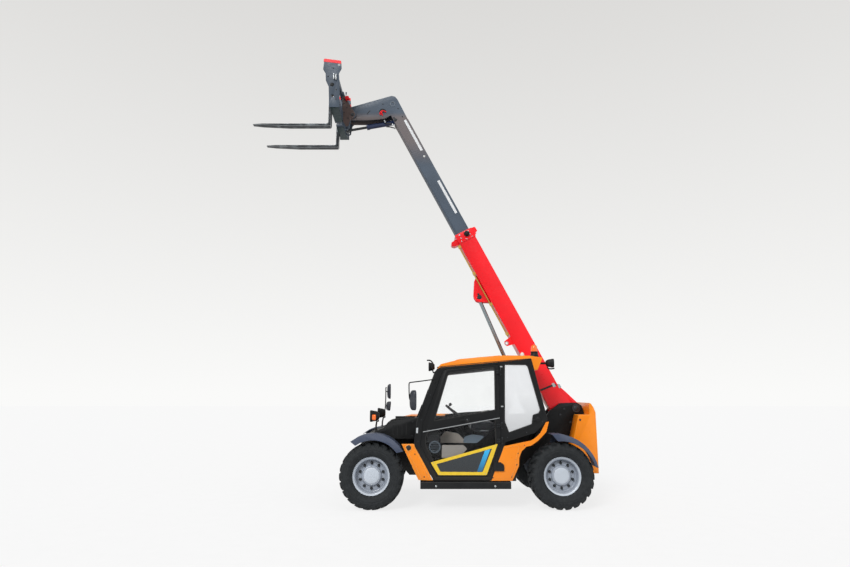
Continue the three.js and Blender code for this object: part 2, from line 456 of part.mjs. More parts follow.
function cabFrame() {
  return cut(side(CAB, CAB_SIDE, CAB_INNER), cabInside,
    side(DOORWAY, CAB_SIDE - 5, CAB_SIDE + CAB_WALL + 5), side(QUARTER, CAB_SIDE - 5, CAB_SIDE + CAB_WALL + 5),
    side(RIGHT_WINDOW, CAB_INNER - CAB_WALL - 5, CAB_INNER + 5), frontHole(0), rearHole(0));
}
put('cab_frame', cabFrame(), MAT.black);

/** Pane lying between two depths below the cab outline. */
const skinBand = (d) => cut(side(inset(CAB, d), -2000, 0), side(inset(CAB, d + GLASS), -2001, 1));
put('windscreen', skinBand(16).intersect(frontHole(FIT)), MAT.glass);
put('rear_window', skinBand(16).intersect(rearHole(FIT)), MAT.glass);
put('left_quarter_glass', side(inset(QUARTER, FIT), CAB_SIDE + 12, CAB_SIDE + 12 + GLASS), MAT.glass);
put('right_side_glass', side(inset(RIGHT_WINDOW, FIT), CAB_INNER - 12 - GLASS, CAB_INNER - 12), MAT.glass);

const ROOF = [[836, 1762], [872, 1812], [902, 1843], [1149, 1903], [1400, 1933], [1765, 1956], [2084, 1952], [2256, 1927],
  [2180, 1765], [2100, 1765], [2000, 1800], [1000, 1770], [880, 1750]];
put('cab_roof', cut(side(ROOF, CAB_SIDE - 6, CAB_INNER - 4), cabSpace), MAT.orange);

const DOOR_GAP = 5;
function cabDoor() {
  const leaf = side(inset(DOORWAY, DOOR_GAP), CAB_SIDE, CAB_SIDE + 34);
  const hinges = [1740, 1050, 860].map((z) => upright(DOOR_HINGE.x, DOOR_HINGE.y, 10, z - 30, z + 30, 12));
  const arms = [1740, 1050, 860].map((z) => join(box(DOOR_HINGE.x - 70, DOOR_HINGE.x, DOOR_HINGE.y - 6, CAB_SIDE - 1, z - 26, z + 26),
    box(DOOR_HINGE.x - 70, DOOR_HINGE.x - 40, DOOR_HINGE.y - 6, CAB_SIDE + 4, z - 26, z + 26)));
  return join(cut(leaf, side(DOOR_UPPER, CAB_SIDE - 5, CAB_SIDE + 60), side(DOOR_LOWER, CAB_SIDE - 5, CAB_SIDE + 60)), ...hinges, ...arms);
}
const DOOR_HINGE = { x: 1690, y: CAB_SIDE - 10.4 };
put('cab_door', cabDoor(), MAT.black);
put('door_upper_glass', side(inset(DOOR_UPPER, FIT), CAB_SIDE + 8, CAB_SIDE + 8 + GLASS), MAT.glass);
put('door_lower_glass', side(inset(DOOR_LOWER, FIT), CAB_SIDE + 8, CAB_SIDE + 8 + GLASS), MAT.glass);

// ---------------------------------------------------------------- cab interior
const FLOOR = CAB_FLOOR + CAB_SKIN;
const insideCab = side(inset(CAB, CAB_SKIN + FIT), CAB_SIDE + CAB_WALL + FIT, CAB_INNER - CAB_WALL - FIT);
put('seat_base', join(box(1330, 1745, -640, -340, FLOOR + 430, FLOOR + 560), box(1330, 1680, -600, -380, FLOOR - 20, FLOOR + 440))
  .intersect(insideCab), MAT.black);
put('seat_cushion', box(1270, 1650 - FIT, -730, -250, FLOOR + 560 + FIT, FLOOR + 670), MAT.fabric);
put('seat_back', side([[1650, FLOOR + 560 + FIT], [1740, FLOOR + 560 + FIT], [1940, FLOOR + 1230], [1850, FLOOR + 1250]], -720, -260), MAT.fabric);
const dashboard = join(side([[640, 800], [640, 860], [760, 1000], [830, 1010], [900, 960], [860, 800], [780, FLOOR], [740, FLOOR + 60]], -820, -170),
  box(800, 900, -520, -460, FLOOR - 20, 900));
const WHEEL_C = V(1120, -490, 1180);
function steeringWheel() {
  const ring = solid(new THREE.TorusGeometry(175, 15, 8, 28));
  const spokes = join(box(-175, 175, -16, 16, -6, 6), box(-16, 16, 0, 175, -6, 6), bar(V(0, 0, -30), V(0, 0, 12), 34, 16));
  const column = bar(V(0, 0, -390), V(0, 0, -20), 26, 14);
  return join(ring, spokes, column).rotate([0, 40, 0]).translate([WHEEL_C.x, WHEEL_C.y, WHEEL_C.z]);
}
put('dashboard', dashboard.add(steeringWheel()).intersect(insideCab), MAT.black);

// ---------------------------------------------------------------- body panels
put('front_side_panel', overGap(side([[385, 817], [560, 817], [790, 364], [605, 371]], CAB_SIDE, CAB_SIDE + 24)), MAT.orange);
put('rear_side_panel', overGap(side([[1700, 786], [2124, 872], [2010, 790], [1939, 727], [1904, 645], [1897, 543], [1809, 361 + 2],
  [1520, 361 + 2]], CAB_SIDE, CAB_SIDE + 24)), MAT.orange);
put('side_step', box(630, 1789, -900, -700 - FIT, 264, 353), MAT.lamp);

const HOOD = [[-132, 862], [-132, 890], [45, 968], [127, 1002], [229, 1089], [566, 1136], [700, 1136], [700, 862]];
const hollowed = (pts, t, y0, y1, zLow) => cut(side(pts, y0, y1), side(inset(pts, t), y0 + t, y1 - t),
  box(-2000, 4000, y0 + t, y1 - t, zLow - 50, zLow + t + 1).intersect(side(inset([...pts].map(([a, b]) => [a, b - t * 2]), t), y0 - 9, y1 + 9)));
put('front_hood_left', overGap(hollowed(HOOD, 6, -HOOD_SIDE, FRAME_L - FIT, 862)), MAT.black);
const COVER = [[-132, 862], [-132, 890], [45, 968], [127, 1002], [190, 1040], [190, 862]];
put('front_cover_right', hollowed(COVER, 6, FRAME_R + FIT, HOOD_SIDE, 862), MAT.black);

const ENGINE_HOOD = [[240, 930], [560, 930], [660, 700], [1870, 700], [2080, 965], [2330, 965], [2330, 1090], [2280, 1136],
  [480, 1136], [330, 1098], [215, 960]];
const HOOD_HINGE = { y: FRAME_R + 8, z: 1130 };
function engineHood() {
  const y0 = FRAME_R + 12, y1 = 905, t = 8;
  const shell = cut(side(ENGINE_HOOD, y0, y1), side(inset(ENGINE_HOOD, t), y0 - 5, y1 - t));
  const open = side([[250, 600], [250, 945], [570, 945], [670, 715], [1862, 715], [2072, 980], [2320, 980], [2320, 600]], y0 - 5, y1 - t);
  const hinges = [500, 1250, 2000].map((x) => join(bar(V(x, HOOD_HINGE.y, HOOD_HINGE.z), V(x + 120, HOOD_HINGE.y, HOOD_HINGE.z), 7.6, 12),
    box(x, x + 120, HOOD_HINGE.y, y0 + 2, HOOD_HINGE.z - 4, HOOD_HINGE.z + 6)));
  return join(cut(shell, open), ...hinges);
}
put('engine_hood', engineHood(), MAT.orange);
put('engine', join(box(760, 1560, 300, 760, BEAM.z1 + FIT, 960), box(850, 1450, 340, 700, 960, 1060)), MAT.steel);
put('right_side_panel', side([[450, 690], [1890, 690], [1897, 560], [1809, 340], [620, 340]], 840 + FIT, 864), MAT.orange);

const WEIGHT = behind([[535, 385], [535, 1331], [560, 1322], [598, 1267], [621, 1199], [621, 385]]);
const CHEEK = behind([[250, 600], [305, 868], [380, 1165], [540, 1165], [540, 385], [410, 385]]);
put('rear_weight', join(side(WEIGHT, -365, 365), side(CHEEK, -365, FRAME_L - 12), side(CHEEK, FRAME_R + 12, 365),
  box(TAIL + FIT, TAIL + 15, -365, 365, 385, 1150)), MAT.orange);

// ---------------------------------------------------------------- lamps and mirrors
put('left_mirror', join(box(476, 540, -1060, -900, 1243, 1503), bar(V(500, -935, 1490), V(500, -935, 1600), 9, 10),
  bar(V(500, -935, 1594), V(812, -892, 1640), 9, 10), box(795, 838, -902, CAB_SIDE - FIT, 1620, 1660)), MAT.black);
function headlamp(s) {
  const y = (v) => s * v;
  const span = (a, b) => [Math.min(y(a), y(b)), Math.max(y(a), y(b))];
  return join(box(-52, 122, ...span(530, 690), 1078, 1245), box(10, 44, ...span(560, 590), 968, 1090));
}
put('left_headlamp', headlamp(-1), MAT.lamp);
put('right_lamp_and_mirror', join(headlamp(1), box(80, 140, 900, 1060, 1370, 1616), box(66, 140, 900, 1060, 1183, 1332),
  bar(V(100, 920, 1200), V(100, 920, 1560), 9, 10), bar(V(100, 920, 1210), V(40, 660, 1130), 10, 10)),
  MAT.lamp);
put('front_work_lamp', join(box(700, 790, -820, -690, 1745, 1880), side([[780, 1782], [849.6, 1782], [859.4, 1796], [780, 1796]], -770, -740)), MAT.lamp);
put('rear_work_lamp', join(box(2300, 2420, -800, -660, 1800, 1925), box(2226, 2310, -745, -715, 1850, 1862)), MAT.lamp);
put('beacon', join(upright(2185, -600, 55, 1946, 1980, 16), upright(2185, -600, 48, 1975, 2115, 16)), MAT.amber);

// ---------------------------------------------------------------- place the origin under the middle
machine.updateMatrixWorld(true);
const bounds = new THREE.Box3().setFromObject(machine, true);
const group = new THREE.Group();
machine.position.set(-(bounds.min.x + bounds.max.x) / 2, -(bounds.min.y + bounds.max.y) / 2, -bounds.min.z);
group.add(machine);
export default group;
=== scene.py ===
# %% [markdown]
# # A compact telescopic handler, dressed for the camera
#
# The machine arrives as a fixed frame of plain solids that already move on their joints.
# This notebook gives it its looks: treads and wheel nuts, lamps, seals, hoses, a padded seat,
# and a finish for every surface. It never moves or reshapes what the frame holds.

# %% Load the frame
import math
import bpy
import numpy as np
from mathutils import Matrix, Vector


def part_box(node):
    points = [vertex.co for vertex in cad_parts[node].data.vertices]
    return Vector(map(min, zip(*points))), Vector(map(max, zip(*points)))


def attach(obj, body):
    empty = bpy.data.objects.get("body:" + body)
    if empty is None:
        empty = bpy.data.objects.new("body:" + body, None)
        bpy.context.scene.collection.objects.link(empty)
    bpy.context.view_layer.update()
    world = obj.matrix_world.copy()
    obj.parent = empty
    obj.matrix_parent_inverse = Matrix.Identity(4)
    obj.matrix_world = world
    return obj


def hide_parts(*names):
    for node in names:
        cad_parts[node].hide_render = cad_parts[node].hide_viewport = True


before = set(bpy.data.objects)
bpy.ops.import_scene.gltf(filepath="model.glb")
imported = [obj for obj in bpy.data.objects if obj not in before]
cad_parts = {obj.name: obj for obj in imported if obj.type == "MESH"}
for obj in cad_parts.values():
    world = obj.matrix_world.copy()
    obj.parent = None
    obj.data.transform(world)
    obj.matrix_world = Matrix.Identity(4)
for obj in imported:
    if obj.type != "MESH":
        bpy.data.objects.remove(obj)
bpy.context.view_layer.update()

# %% [markdown]
# ## A shared ruler
#
# The machine is easiest to think about in millimetres from the front axle, X to the rear, Y to
# the right and Z up from the ground, so one function turns such points into the frame's metres.
# The boom has a ruler of its own: u runs along it from its pivot, v is square to it.

# %% Rulers
wheel_low, wheel_high = (np.array(c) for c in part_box("front_left_tyre"))
FRONT_AXLE_X = (wheel_low[0] + wheel_high[0]) / 2
rear_low, rear_high = (np.array(c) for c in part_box("rear_left_tyre"))
WHEELBASE = ((rear_low[0] + rear_high[0]) / 2 - FRONT_AXLE_X) * 1000
AXLE_Z = (wheel_low[2] + wheel_high[2]) / 2 * 1000
WHEEL_Y = 765.0
BOOM_Y = 50.0
BOOM_ANGLE = math.radians(62.6)
BOOM_PIVOT = (WHEELBASE + 418, 1250.0)


def metres(points):
    """Millimetre points from the front axle, as metres in the frame."""
    return np.asarray(points, float) / 1000 + [FRONT_AXLE_X, 0, 0]


def on_boom(u, v, y):
    """The machine point that lies u along the boom, v square to it and y across it from its middle."""
    u, v, y = np.broadcast_arrays(*(np.asarray(k, float) for k in (u, v, y)))
    x = BOOM_PIVOT[0] - u * math.cos(BOOM_ANGLE) + v * math.sin(BOOM_ANGLE)
    z = BOOM_PIVOT[1] + u * math.sin(BOOM_ANGLE) + v * math.cos(BOOM_ANGLE)
    return np.stack([x, BOOM_Y + y, z], -1)


print(f"wheelbase {WHEELBASE:.0f} mm, axles {AXLE_Z:.1f} mm above the ground")

# %% [markdown]
# ## One way to turn arrays into a piece
#
# Every new piece is a sheet of points on a grid of two parameters, or a few of them put together.
# The grid goes into the mesh as whole arrays. A piece rides on the body it is bolted to, takes the
# material slot of its real finish, and may stand in for a plain solid of the frame.

# %% Grid to mesh
WELD_WITHIN = 0.00005


def grid_faces(rows, columns, wrap_rows=False, wrap_columns=False):
    """Quads between neighbouring grid points; a wrapped direction joins its last points to its first."""
    r = np.arange(rows if wrap_rows else rows - 1)
    c = np.arange(columns if wrap_columns else columns - 1)
    r, c = (k.ravel() for k in np.meshgrid(r, c, indexing="ij"))
    r2, c2 = (r + 1) % rows, (c + 1) % columns
    return np.stack([r * columns + c, r2 * columns + c, r2 * columns + c2, r * columns + c2], -1)


def gather(*parts):
    """Several (points, faces) pairs put together as one, face lists kept as Python lists."""
    points, faces, start = [], [], 0
    for p, f in parts:
        p = np.asarray(p, float).reshape(-1, 3)
        points.append(p)
        faces += [[int(i) + start for i in face] for face in f]
        start += len(p)
    return np.concatenate(points), faces


def piece(name, part, body, material, replaces=(), bevel=0.0, smooth=40, segments=2):
    """Makes the object from (points in mm, faces): welded, shaded smooth below an angle, edges rounded."""
    points, faces = part
    mesh = bpy.data.meshes.new(name)
    mesh.from_pydata(metres(points).tolist(), [], [list(map(int, f)) for f in faces])
    mesh.validate()
    obj = bpy.data.objects.new(name, mesh)
    bpy.context.collection.objects.link(obj)
    mesh.materials.append(material)
    dress(obj, bevel, smooth, segments)
    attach(obj, body)
    if replaces:
        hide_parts(*([replaces] if isinstance(replaces, str) else replaces))
    return obj


def dress(obj, bevel, smooth, segments=2, edge_material=-1):
    """Rounds the edges sharper than the smooth angle by bevel mm and shades the rest as one surface."""
    mesh = obj.data
    mesh.polygons.foreach_set("use_smooth", np.ones(len(mesh.polygons), bool))
    obj.modifiers.new("weld", "WELD").merge_threshold = WELD_WITHIN
    if bevel:
        flat = obj.modifiers.new("flat faces", "DECIMATE")
        flat.decimate_type, flat.angle_limit = "DISSOLVE", math.radians(0.3)
        mod = obj.modifiers.new("edges", "BEVEL")
        mod.width, mod.segments, mod.limit_method = bevel / 1000, segments, "ANGLE"
        mod.angle_limit, mod.use_clamp_overlap = math.radians(smooth), True
        mod.harden_normals, mod.material = True, edge_material
    else:
        split = obj.modifiers.new("split", "EDGE_SPLIT")
        split.split_angle = math.radians(smooth)


# %% [markdown]
# ## Shapes that the pieces are made of
#
# A turned piece is a profile carried round an axle. A bent pipe is a ring carried along a path.
# A pressed or cut plate is an outline made thick. Bolts are small six sided prisms, repeated.

# %% Turned, bent and cut shapes
AXIS = {"x": 0, "y": 1, "z": 2}


def turned(profile, centre, axis="y", segments=64, arc=(0.0, 360.0)):
    """Points at radius r and height h of each profile pair, at equal angles about the axis through centre."""
    profile = np.asarray(profile, float)
    whole = abs(arc[1] - arc[0]) >= 359.9
    angle = np.radians(np.linspace(*arc, segments, endpoint=not whole))
    r, h = profile[:, 0][:, None], profile[:, 1][:, None]
    a = AXIS[axis]
    p = np.zeros((len(profile), segments, 3))
    p[..., a] = h
    p[..., (a + 1) % 3] = r * np.cos(angle)
    p[..., (a + 2) % 3] = r * np.sin(angle)
    faces = grid_faces(len(profile), segments, wrap_columns=whole)
    return (p + np.asarray(centre, float)).reshape(-1, 3), faces


def frames_along(path, closed=False):
    """Tangent, side and up at each path point: the side is carried along with the least turning."""
    path = np.asarray(path, float)
    t = np.roll(path, -1, 0) - np.roll(path, 1, 0) if closed else np.gradient(path, axis=0)
    t /= np.linalg.norm(t, axis=1, keepdims=True)
    side = np.cross(t[0], [0, 1, 0] if abs(t[0][1]) < 0.9 else [1, 0, 0])
    sides = []
    for tangent in t:
        side = side - tangent * side.dot(tangent)
        side /= np.linalg.norm(side)
        sides.append(side)
    sides = np.array(sides)
    return t, sides, np.cross(t, sides)


def pipe(path, radius, sides=12, closed=False):
    """A ring of that radius (or one radius per point) carried along the path, its ends closed by fans."""
    path = np.asarray(path, float)
    _, s, u = frames_along(path, closed)
    angle = np.linspace(0, 2 * np.pi, sides, endpoint=False)
    radius = np.broadcast_to(np.asarray(radius, float), len(path))[:, None, None]
    ring = np.cos(angle)[None, :, None] * s[:, None] + np.sin(angle)[None, :, None] * u[:, None]
    p = (path[:, None] + ring * radius).reshape(-1, 3)
    faces = grid_faces(len(path), sides, wrap_rows=closed, wrap_columns=True).tolist()
    if not closed:
        faces += [list(range(sides)), list(range(len(p) - 1, len(p) - sides - 1, -1))]
    return p, faces


def smooth_path(points, steps=8, closed=False):
    """A curve through the points: Catmull and Rom's cubic, with that many steps in each span."""
    q = np.asarray(points, float)
    n = len(q)
    ext = np.concatenate([q[-1:], q, q[:2]]) if closed else np.concatenate([2 * q[:1] - q[1:2], q,
                                                                            2 * q[-1:] - q[-2:-1]])
    t = np.linspace(0, 1, steps, endpoint=False)[:, None]
    spans = [0.5 * (2 * b + (c - a) * t + (2 * a - 5 * b + 4 * c - d) * t**2 + (3 * b - a - 3 * c + d) * t**3)
             for a, b, c, d in zip(ext[:-3], ext[1:-2], ext[2:-1], ext[3:])][: n if closed else n - 1]
    return np.concatenate(spans + ([] if closed else [q[-1:]]))


def rounded(outline, radius, steps=4):
    """The outline with each corner replaced by a short arc-like curve that starts radius away from it."""
    q = np.asarray(outline, float)
    before, after = np.roll(q, 1, 0) - q, np.roll(q, -1, 0) - q
    lb, la = (np.linalg.norm(k, axis=1, keepdims=True) for k in (before, after))
    a = q + before / lb * np.minimum(radius, lb * 0.45)
    b = q + after / la * np.minimum(radius, la * 0.45)
    t = np.linspace(0, 1, steps + 1)[None, :, None]
    curve = (1 - t) ** 2 * a[:, None] + 2 * t * (1 - t) * q[:, None] + t**2 * b[:, None]
    return curve.reshape(-1, 2)


def plate(outline, near, far, axis="y"):
    """The outline, in the two directions across the axis, made solid from near to far along it."""
    q = np.asarray(outline, float)
    a = AXIS[axis]
    n = len(q)
    p = np.zeros((2, n, 3))
    others = [k for k in range(3) if k != a]
    p[:, :, others[0]], p[:, :, others[1]] = q[:, 0], q[:, 1]
    p[0, :, a], p[1, :, a] = near, far
    nxt = (np.arange(n) + 1) % n
    walls = np.stack([np.arange(n), nxt, nxt + n, np.arange(n) + n], -1).tolist()
    faces = walls + [list(range(n))[::-1], list(range(n, 2 * n))]
    turn = np.sum(q[:, 0] * np.roll(q[:, 1], -1) - np.roll(q[:, 0], -1) * q[:, 1])
    if (turn > 0) == (a == 1):
        faces = [f[::-1] for f in faces]
    return p.reshape(-1, 3), faces


def block(x0, x1, y0, y1, z0, z1):
    """A box between two corners, as a plate that is cut in plan."""
    return plate([(x0, y0), (x1, y0), (x1, y1), (x0, y1)], z0, z1, "z")


def bolts(centres, direction, size, length=None, washer=True):
    """Six sided heads with a washer under each: prisms of that width across the corners, all in one part."""
    centres = np.asarray(centres, float).reshape(-1, 3)
    d = np.asarray(direction, float) / np.linalg.norm(direction)
    side = np.cross(d, [0, 0, 1] if abs(d[2]) < 0.9 else [1, 0, 0])
    side /= np.linalg.norm(side)
    up = np.cross(d, side)
    length = length or size * 0.42
    parts = []
    for radii, sides in (([(0.62, 0.0), (0.62, 0.1), (0.5, 0.1)], 12),
                         ([(0.5, 0.1), (0.5, 0.9), (0.4, 1.0), (0.0, 1.0)], 6)):
        if sides == 12 and not washer:
            continue
        angle = np.linspace(0, 2 * np.pi, sides, endpoint=False)
        ring = np.cos(angle)[:, None] * side + np.sin(angle)[:, None] * up
        rad = np.array([r for r, _ in radii]) * size
        lift = np.array([h for _, h in radii]) * length
        one = rad[:, None, None] * ring[None] + lift[:, None, None] * d
        faces = grid_faces(len(radii), sides, wrap_columns=True)[:, ::-1]
        parts += [((one + c).reshape(-1, 3), faces) for c in centres]
    return gather(*parts)


def circle_of(count, radius, centre, axis="y", start=0.0):
    """Centres at equal angles on a circle about the axis."""
    angle = np.radians(start) + np.linspace(0, 2 * np.pi, count, endpoint=False)
    a = AXIS[axis]
    p = np.zeros((count, 3))
    p[:, (a + 1) % 3], p[:, (a + 2) % 3] = radius * np.cos(angle), radius * np.sin(angle)
    return p + np.asarray(centre, float)


def mirrored(part):
    """The part on the other side of the machine, its faces turned round so that they still point out."""
    p, f = part
    return np.asarray(p) * [1, -1, 1], [list(face)[::-1] for face in f]


BOTH = (-1, 1)


def rect(x0, x1, z0, z1):
    """A rectangle's outline between two values in each direction."""
    return [(x0, z0), (x0, z1), (x1, z1), (x1, z0)]


def cut(outline, corner, near, far, axis="y"):
    """A plate cut to an outline whose corners are rounded by that radius."""
    return plate(rounded(outline, corner), near, far, axis)


def bent_pipe(points, steps, radius, sides):
    """A pipe along the smooth curve through the points."""
    return pipe(smooth_path(points, steps), radius, sides)


def side_bolts(y, spots, facing, size):
    """Bolts at (x, z) spots of a side face at depth y, their heads towards -1 left or 1 right."""
    return bolts([(x, y, z) for x, z in spots], (0, facing, 0), size)


print("shape helpers ready")

# %% [markdown]
# ## Finishes
#
# A finish starts from what the real surface is and how it was made. Colours are written as the
# screen values a painter would match and turned to linear light by one function. One small helper
# adds a node with its settings and links, so that each recipe below reads from top to bottom.

# %% Node helper and colour
def linear(code, alpha=1.0):
    """Screen hex to linear light: divide by 12.92 near black, a 2.4 power elsewhere."""
    c = np.array([int(code[k:k + 2], 16) for k in (1, 3, 5)]) / 255
    c = np.where(c <= 0.04045, c / 12.92, ((c + 0.055) / 1.055) ** 2.4)
    return (*c.tolist(), alpha)


def add(tree, kind, inputs=None, **settings):
    """Adds a node, sets its properties, and fills or links the named inputs."""
    node = tree.nodes.new(kind)
    for key, value in settings.items():
        setattr(node, key, value)
    for key, value in (inputs or {}).items():
        if isinstance(value, bpy.types.NodeSocket):
            tree.links.new(value, node.inputs[key])
        else:
            node.inputs[key].default_value = value
    return node


def new_finish(name):
    """An empty material with an output, its tree, and its object coordinates in metres."""
    material = bpy.data.materials.new(name)
    material.use_nodes = True
    tree = material.node_tree
    tree.nodes.clear()
    output = add(tree, "ShaderNodeOutputMaterial")
    place = add(tree, "ShaderNodeTexCoord").outputs["Object"]
    return material, tree, output, place


def ramp(tree, value, stops):
    """Colours along a value from 0 to 1: stops are (place, colour) pairs."""
    node = add(tree, "ShaderNodeValToRGB", {"Fac": value})
    elements = node.color_ramp.elements
    while len(elements) < len(stops):
        elements.new(0.5)
    for element, (at, colour) in zip(elements, stops):
        element.position, element.color = at, colour
    return node.outputs["Color"]


def grey(v):
    """A grey of that linear level."""
    return (v, v, v, 1.0)


MM = 0.001


def scaled(colour, k):
    """A linear colour k times as bright, never above 1."""
    return (*[min(1.0, c * k) for c in colour[:3]], 1.0)


def noise(tree, place, size, detail=2.0, rough=0.5):
    """Cloudy noise with patches about size mm wide."""
    sockets = {"Vector": place, "Scale": 1 / (size * MM), "Detail": detail, "Roughness": rough}
    return add(tree, "ShaderNodeTexNoise", sockets).outputs["Fac"]


def blend(tree, share, first, second):
    """The second colour over the first. A colour mix takes its share at 0 and its colours at 6 and 7."""
    return add(tree, "ShaderNodeMix", {0: share, 6: first, 7: second}, data_type="RGBA").outputs[2]


def relief(tree, height, strength, depth):
    """A height turned into a bumped normal, at most depth mm deep."""
    sockets = {"Height": height, "Strength": strength, "Distance": depth * MM}
    return add(tree, "ShaderNodeBump", sockets).outputs["Normal"]


def calculated(tree, operation, first, second):
    """Two values worked together by a math node."""
    return add(tree, "ShaderNodeMath", {0: first, 1: second}, operation=operation).outputs[0]


def height_of(tree, place):
    """The height in metres above the ground."""
    return add(tree, "ShaderNodeSeparateXYZ", {"Vector": place}).outputs["Z"]


def surfaced(made, sockets):
    """Ends a recipe: one Principled shader with those sockets goes to the output."""
    material, tree, output, _ = made
    shader = add(tree, "ShaderNodeBsdfPrincipled", sockets)
    tree.links.new(shader.outputs[0], output.inputs["Surface"])
    return material


# %% [markdown]
# ### Machine enamel
#
# Structural steel is shot blasted, primed and sprayed with a two part enamel. It levels to a gloss
# with a faint orange peel, a few millimetres across. In use it picks up road dust low down, thin
# wipe marks, and bare grey specks along the edges, which have a material slot of their own. That edge
# finish is also a lighter copy of the enamel: a painted highlight on the rounded edges.

# %% Enamel
def enamel(name, code, rough=0.3, dust=0.35, peel=0.05, chips=0.0, coat=0.1, shade=0.10, gloss_level=0.35,
           rubbed=None):
    """Sprayed enamel: noise 400 mm wide shades it, dust gathers below 900 mm, and peel is 3 mm wide."""
    made = _, tree, _, place = new_finish(name)
    base = linear(code)
    tone = ramp(tree, noise(tree, place, 400, 4.0),
                [(0.3, scaled(base, 1 - shade)), (0.7, scaled(base, 1 + shade * 0.8))])
    height = height_of(tree, place)
    low = add(tree, "ShaderNodeMapRange", {"Value": height, "From Min": 0.9, "From Max": 0.15,
                                           "To Min": 0.0, "To Max": dust}).outputs["Result"]
    specks = noise(tree, place, 35, 6.0, 0.7)
    if rubbed:
        # between two heights the pads have rubbed the paint down to its brown primer
        band = add(tree, "ShaderNodeMapRange",
                   {"Value": height, "From Min": rubbed[0], "From Max": rubbed[1]}).outputs[0]
        band = ramp(tree, band, [(0.0, grey(0.0)), (0.45, grey(0.8)), (0.9, grey(0.8)), (1.0, grey(0.0))])
        tone = blend(tree, band, tone, linear(rubbed[2]))
    colour = blend(tree, calculated(tree, "MULTIPLY", specks, low), tone, linear("#9A8F80"))
    if chips:
        bare = ramp(tree, noise(tree, place, 14, 5.0), [(0.62 - chips, grey(0.0)), (0.66 - chips, grey(1.0))])
        colour = blend(tree, bare, colour, linear("#83807A"))
    gloss = ramp(tree, specks, [(0.3, grey(rough * 0.8)), (0.75, grey(min(1.0, rough * 1.5)))])
    return surfaced(made,
                    {"Base Color": colour, "Roughness": gloss, "Coat Weight": coat, "Coat Roughness": 0.08,
                           "Normal": relief(tree, noise(tree, place, 3), peel, 0.3),
                           "Specular IOR Level": gloss_level})


ORANGE = enamel("orange_machine_enamel", "#FF8C08", 0.3, 0.2)
# The edge finishes are lighter copies of their enamel, a painted highlight on the rounded edges; most also
# carry chips of bare metal.
ORANGE_EDGE_HIGHLIGHT = enamel("orange_enamel_edge_highlight_and_chips", "#FFA030", 0.4, 0.2, chips=0.02)
RED = enamel("red_machine_enamel", "#FA0A1C", 0.3, 0.15)
RED_EDGE_HIGHLIGHT = enamel("red_enamel_edge_highlight_and_chips", "#FF3A40", 0.4, 0.15, chips=0.02)
SLATE = enamel("slate_grey_enamel", "#465260", 0.42, 0.1, coat=0.0, shade=0.2)
BOOM_SLATE = enamel("rubbed_boom_enamel", "#465260", 0.42, 0.1, coat=0.0, shade=0.2,
                    rubbed=(5.0, 5.9, "#6E6361"))
SLATE_EDGE_HIGHLIGHT = enamel("slate_enamel_edge_highlight_and_chips", "#5F6C7A", 0.45, 0.1, coat=0.0, chips=0.04)
# Dark teal enamel used only as painted shade on the carriage's underside.
TEAL_SHADE = enamel("teal_painted_shade_enamel", "#1F3638", 0.45, 0.1, coat=0.0, shade=0.2)
UMBER = enamel("primered_bracket_steel", "#5C4C48", 0.5, 0.1, coat=0.0, shade=0.25)
BLACK = enamel("black_frame_enamel", "#0A0C0E", 0.4, 0.12, coat=0.0, shade=0.2, gloss_level=0.22)
BLACK_EDGE_HIGHLIGHT = enamel("black_enamel_edge_highlight", "#1E2226", 0.4, 0.15, coat=0.0, chips=0.0, gloss_level=0.35)
NAVY = enamel("navy_cylinder_enamel", "#1C2A4C", 0.36, 0.1)
WHEEL_SILVER = enamel("silver_wheel_enamel", "#98A2B0", 0.34, 0.35, coat=0.2)
# A lighter copy of the wheel silver: a painted highlight on the rolled rim edge and the hub cap.
WHEEL_HIGHLIGHT = enamel("wheel_silver_painted_highlight", "#C4CDD8", 0.3, 0.25, chips=0.0, coat=0.2)
print("enamels ready")

# %% [markdown]
# ### Castings, forged steel and rolled steel
#
# Axle ends and the engine block are sand cast and painted thinly, so the grain of the mould, about
# 2 mm, shows through. Forks are forged, black with mill scale, and scraped bright where pallets slide.

# %% Castings, forks, chrome and zinc
def cast_iron():
    """Thin dark paint on a sand casting: 2 mm grain in the bump, dust by a 60 mm noise."""
    made = _, tree, _, place = new_finish("painted_sand_casting")
    colour = ramp(tree, noise(tree, place, 60, 5.0),
                  [(0.3, linear("#191B1D")), (0.6, linear("#2A2C2E")), (0.8, linear("#4A453E"))])
    grain = relief(tree, noise(tree, place, 2, 3.0), 0.35, 0.8)
    return surfaced(made, {"Base Color": colour, "Roughness": 0.6, "Normal": grain})


def forged_fork():
    """Black mill scale, rubbed along X: noise drawn out 40 times along the blade mixes in bright steel."""
    made = _, tree, _, place = new_finish("forged_fork_steel")
    drawn = add(tree, "ShaderNodeMapping", {"Vector": place, "Scale": (2.5, 100.0, 100.0)}).outputs[0]
    streak = noise(tree, drawn, 1000, 6.0, 0.65)
    both = calculated(tree, "MULTIPLY", streak, noise(tree, place, 90, 5.0))
    wear = ramp(tree, both, [(0.25, grey(0.0)), (0.42, grey(1.0))])
    gloss = add(tree, "ShaderNodeMapRange", {"Value": wear, "To Min": 0.5, "To Max": 0.32}).outputs[0]
    return surfaced(made,
                    {"Base Color": blend(tree, wear, linear("#23272B"), linear("#6E7478")), "Roughness": gloss,
                           "Metallic": 0.55, "Normal": relief(tree, streak, 0.2, 0.5)})


def plated(name, code, rough, axis_scale, metallic=1.0):
    """Ground or drawn bar with a plated skin: fine rings or draw lines change its roughness."""
    made = _, tree, _, place = new_finish(name)
    drawn = add(tree, "ShaderNodeMapping", {"Vector": place, "Scale": axis_scale}).outputs[0]
    lines = noise(tree, drawn, 1000, 3.0)
    base = linear(code)
    colour = ramp(tree, lines, [(0.3, scaled(base, 0.82)), (0.7, base)])
    gloss = ramp(tree, lines, [(0.3, grey(rough * 0.7)), (0.7, grey(rough * 1.5))])
    return surfaced(made, {"Base Color": colour, "Roughness": gloss, "Metallic": metallic,
                           "Normal": relief(tree, lines, 0.06, 0.2)})


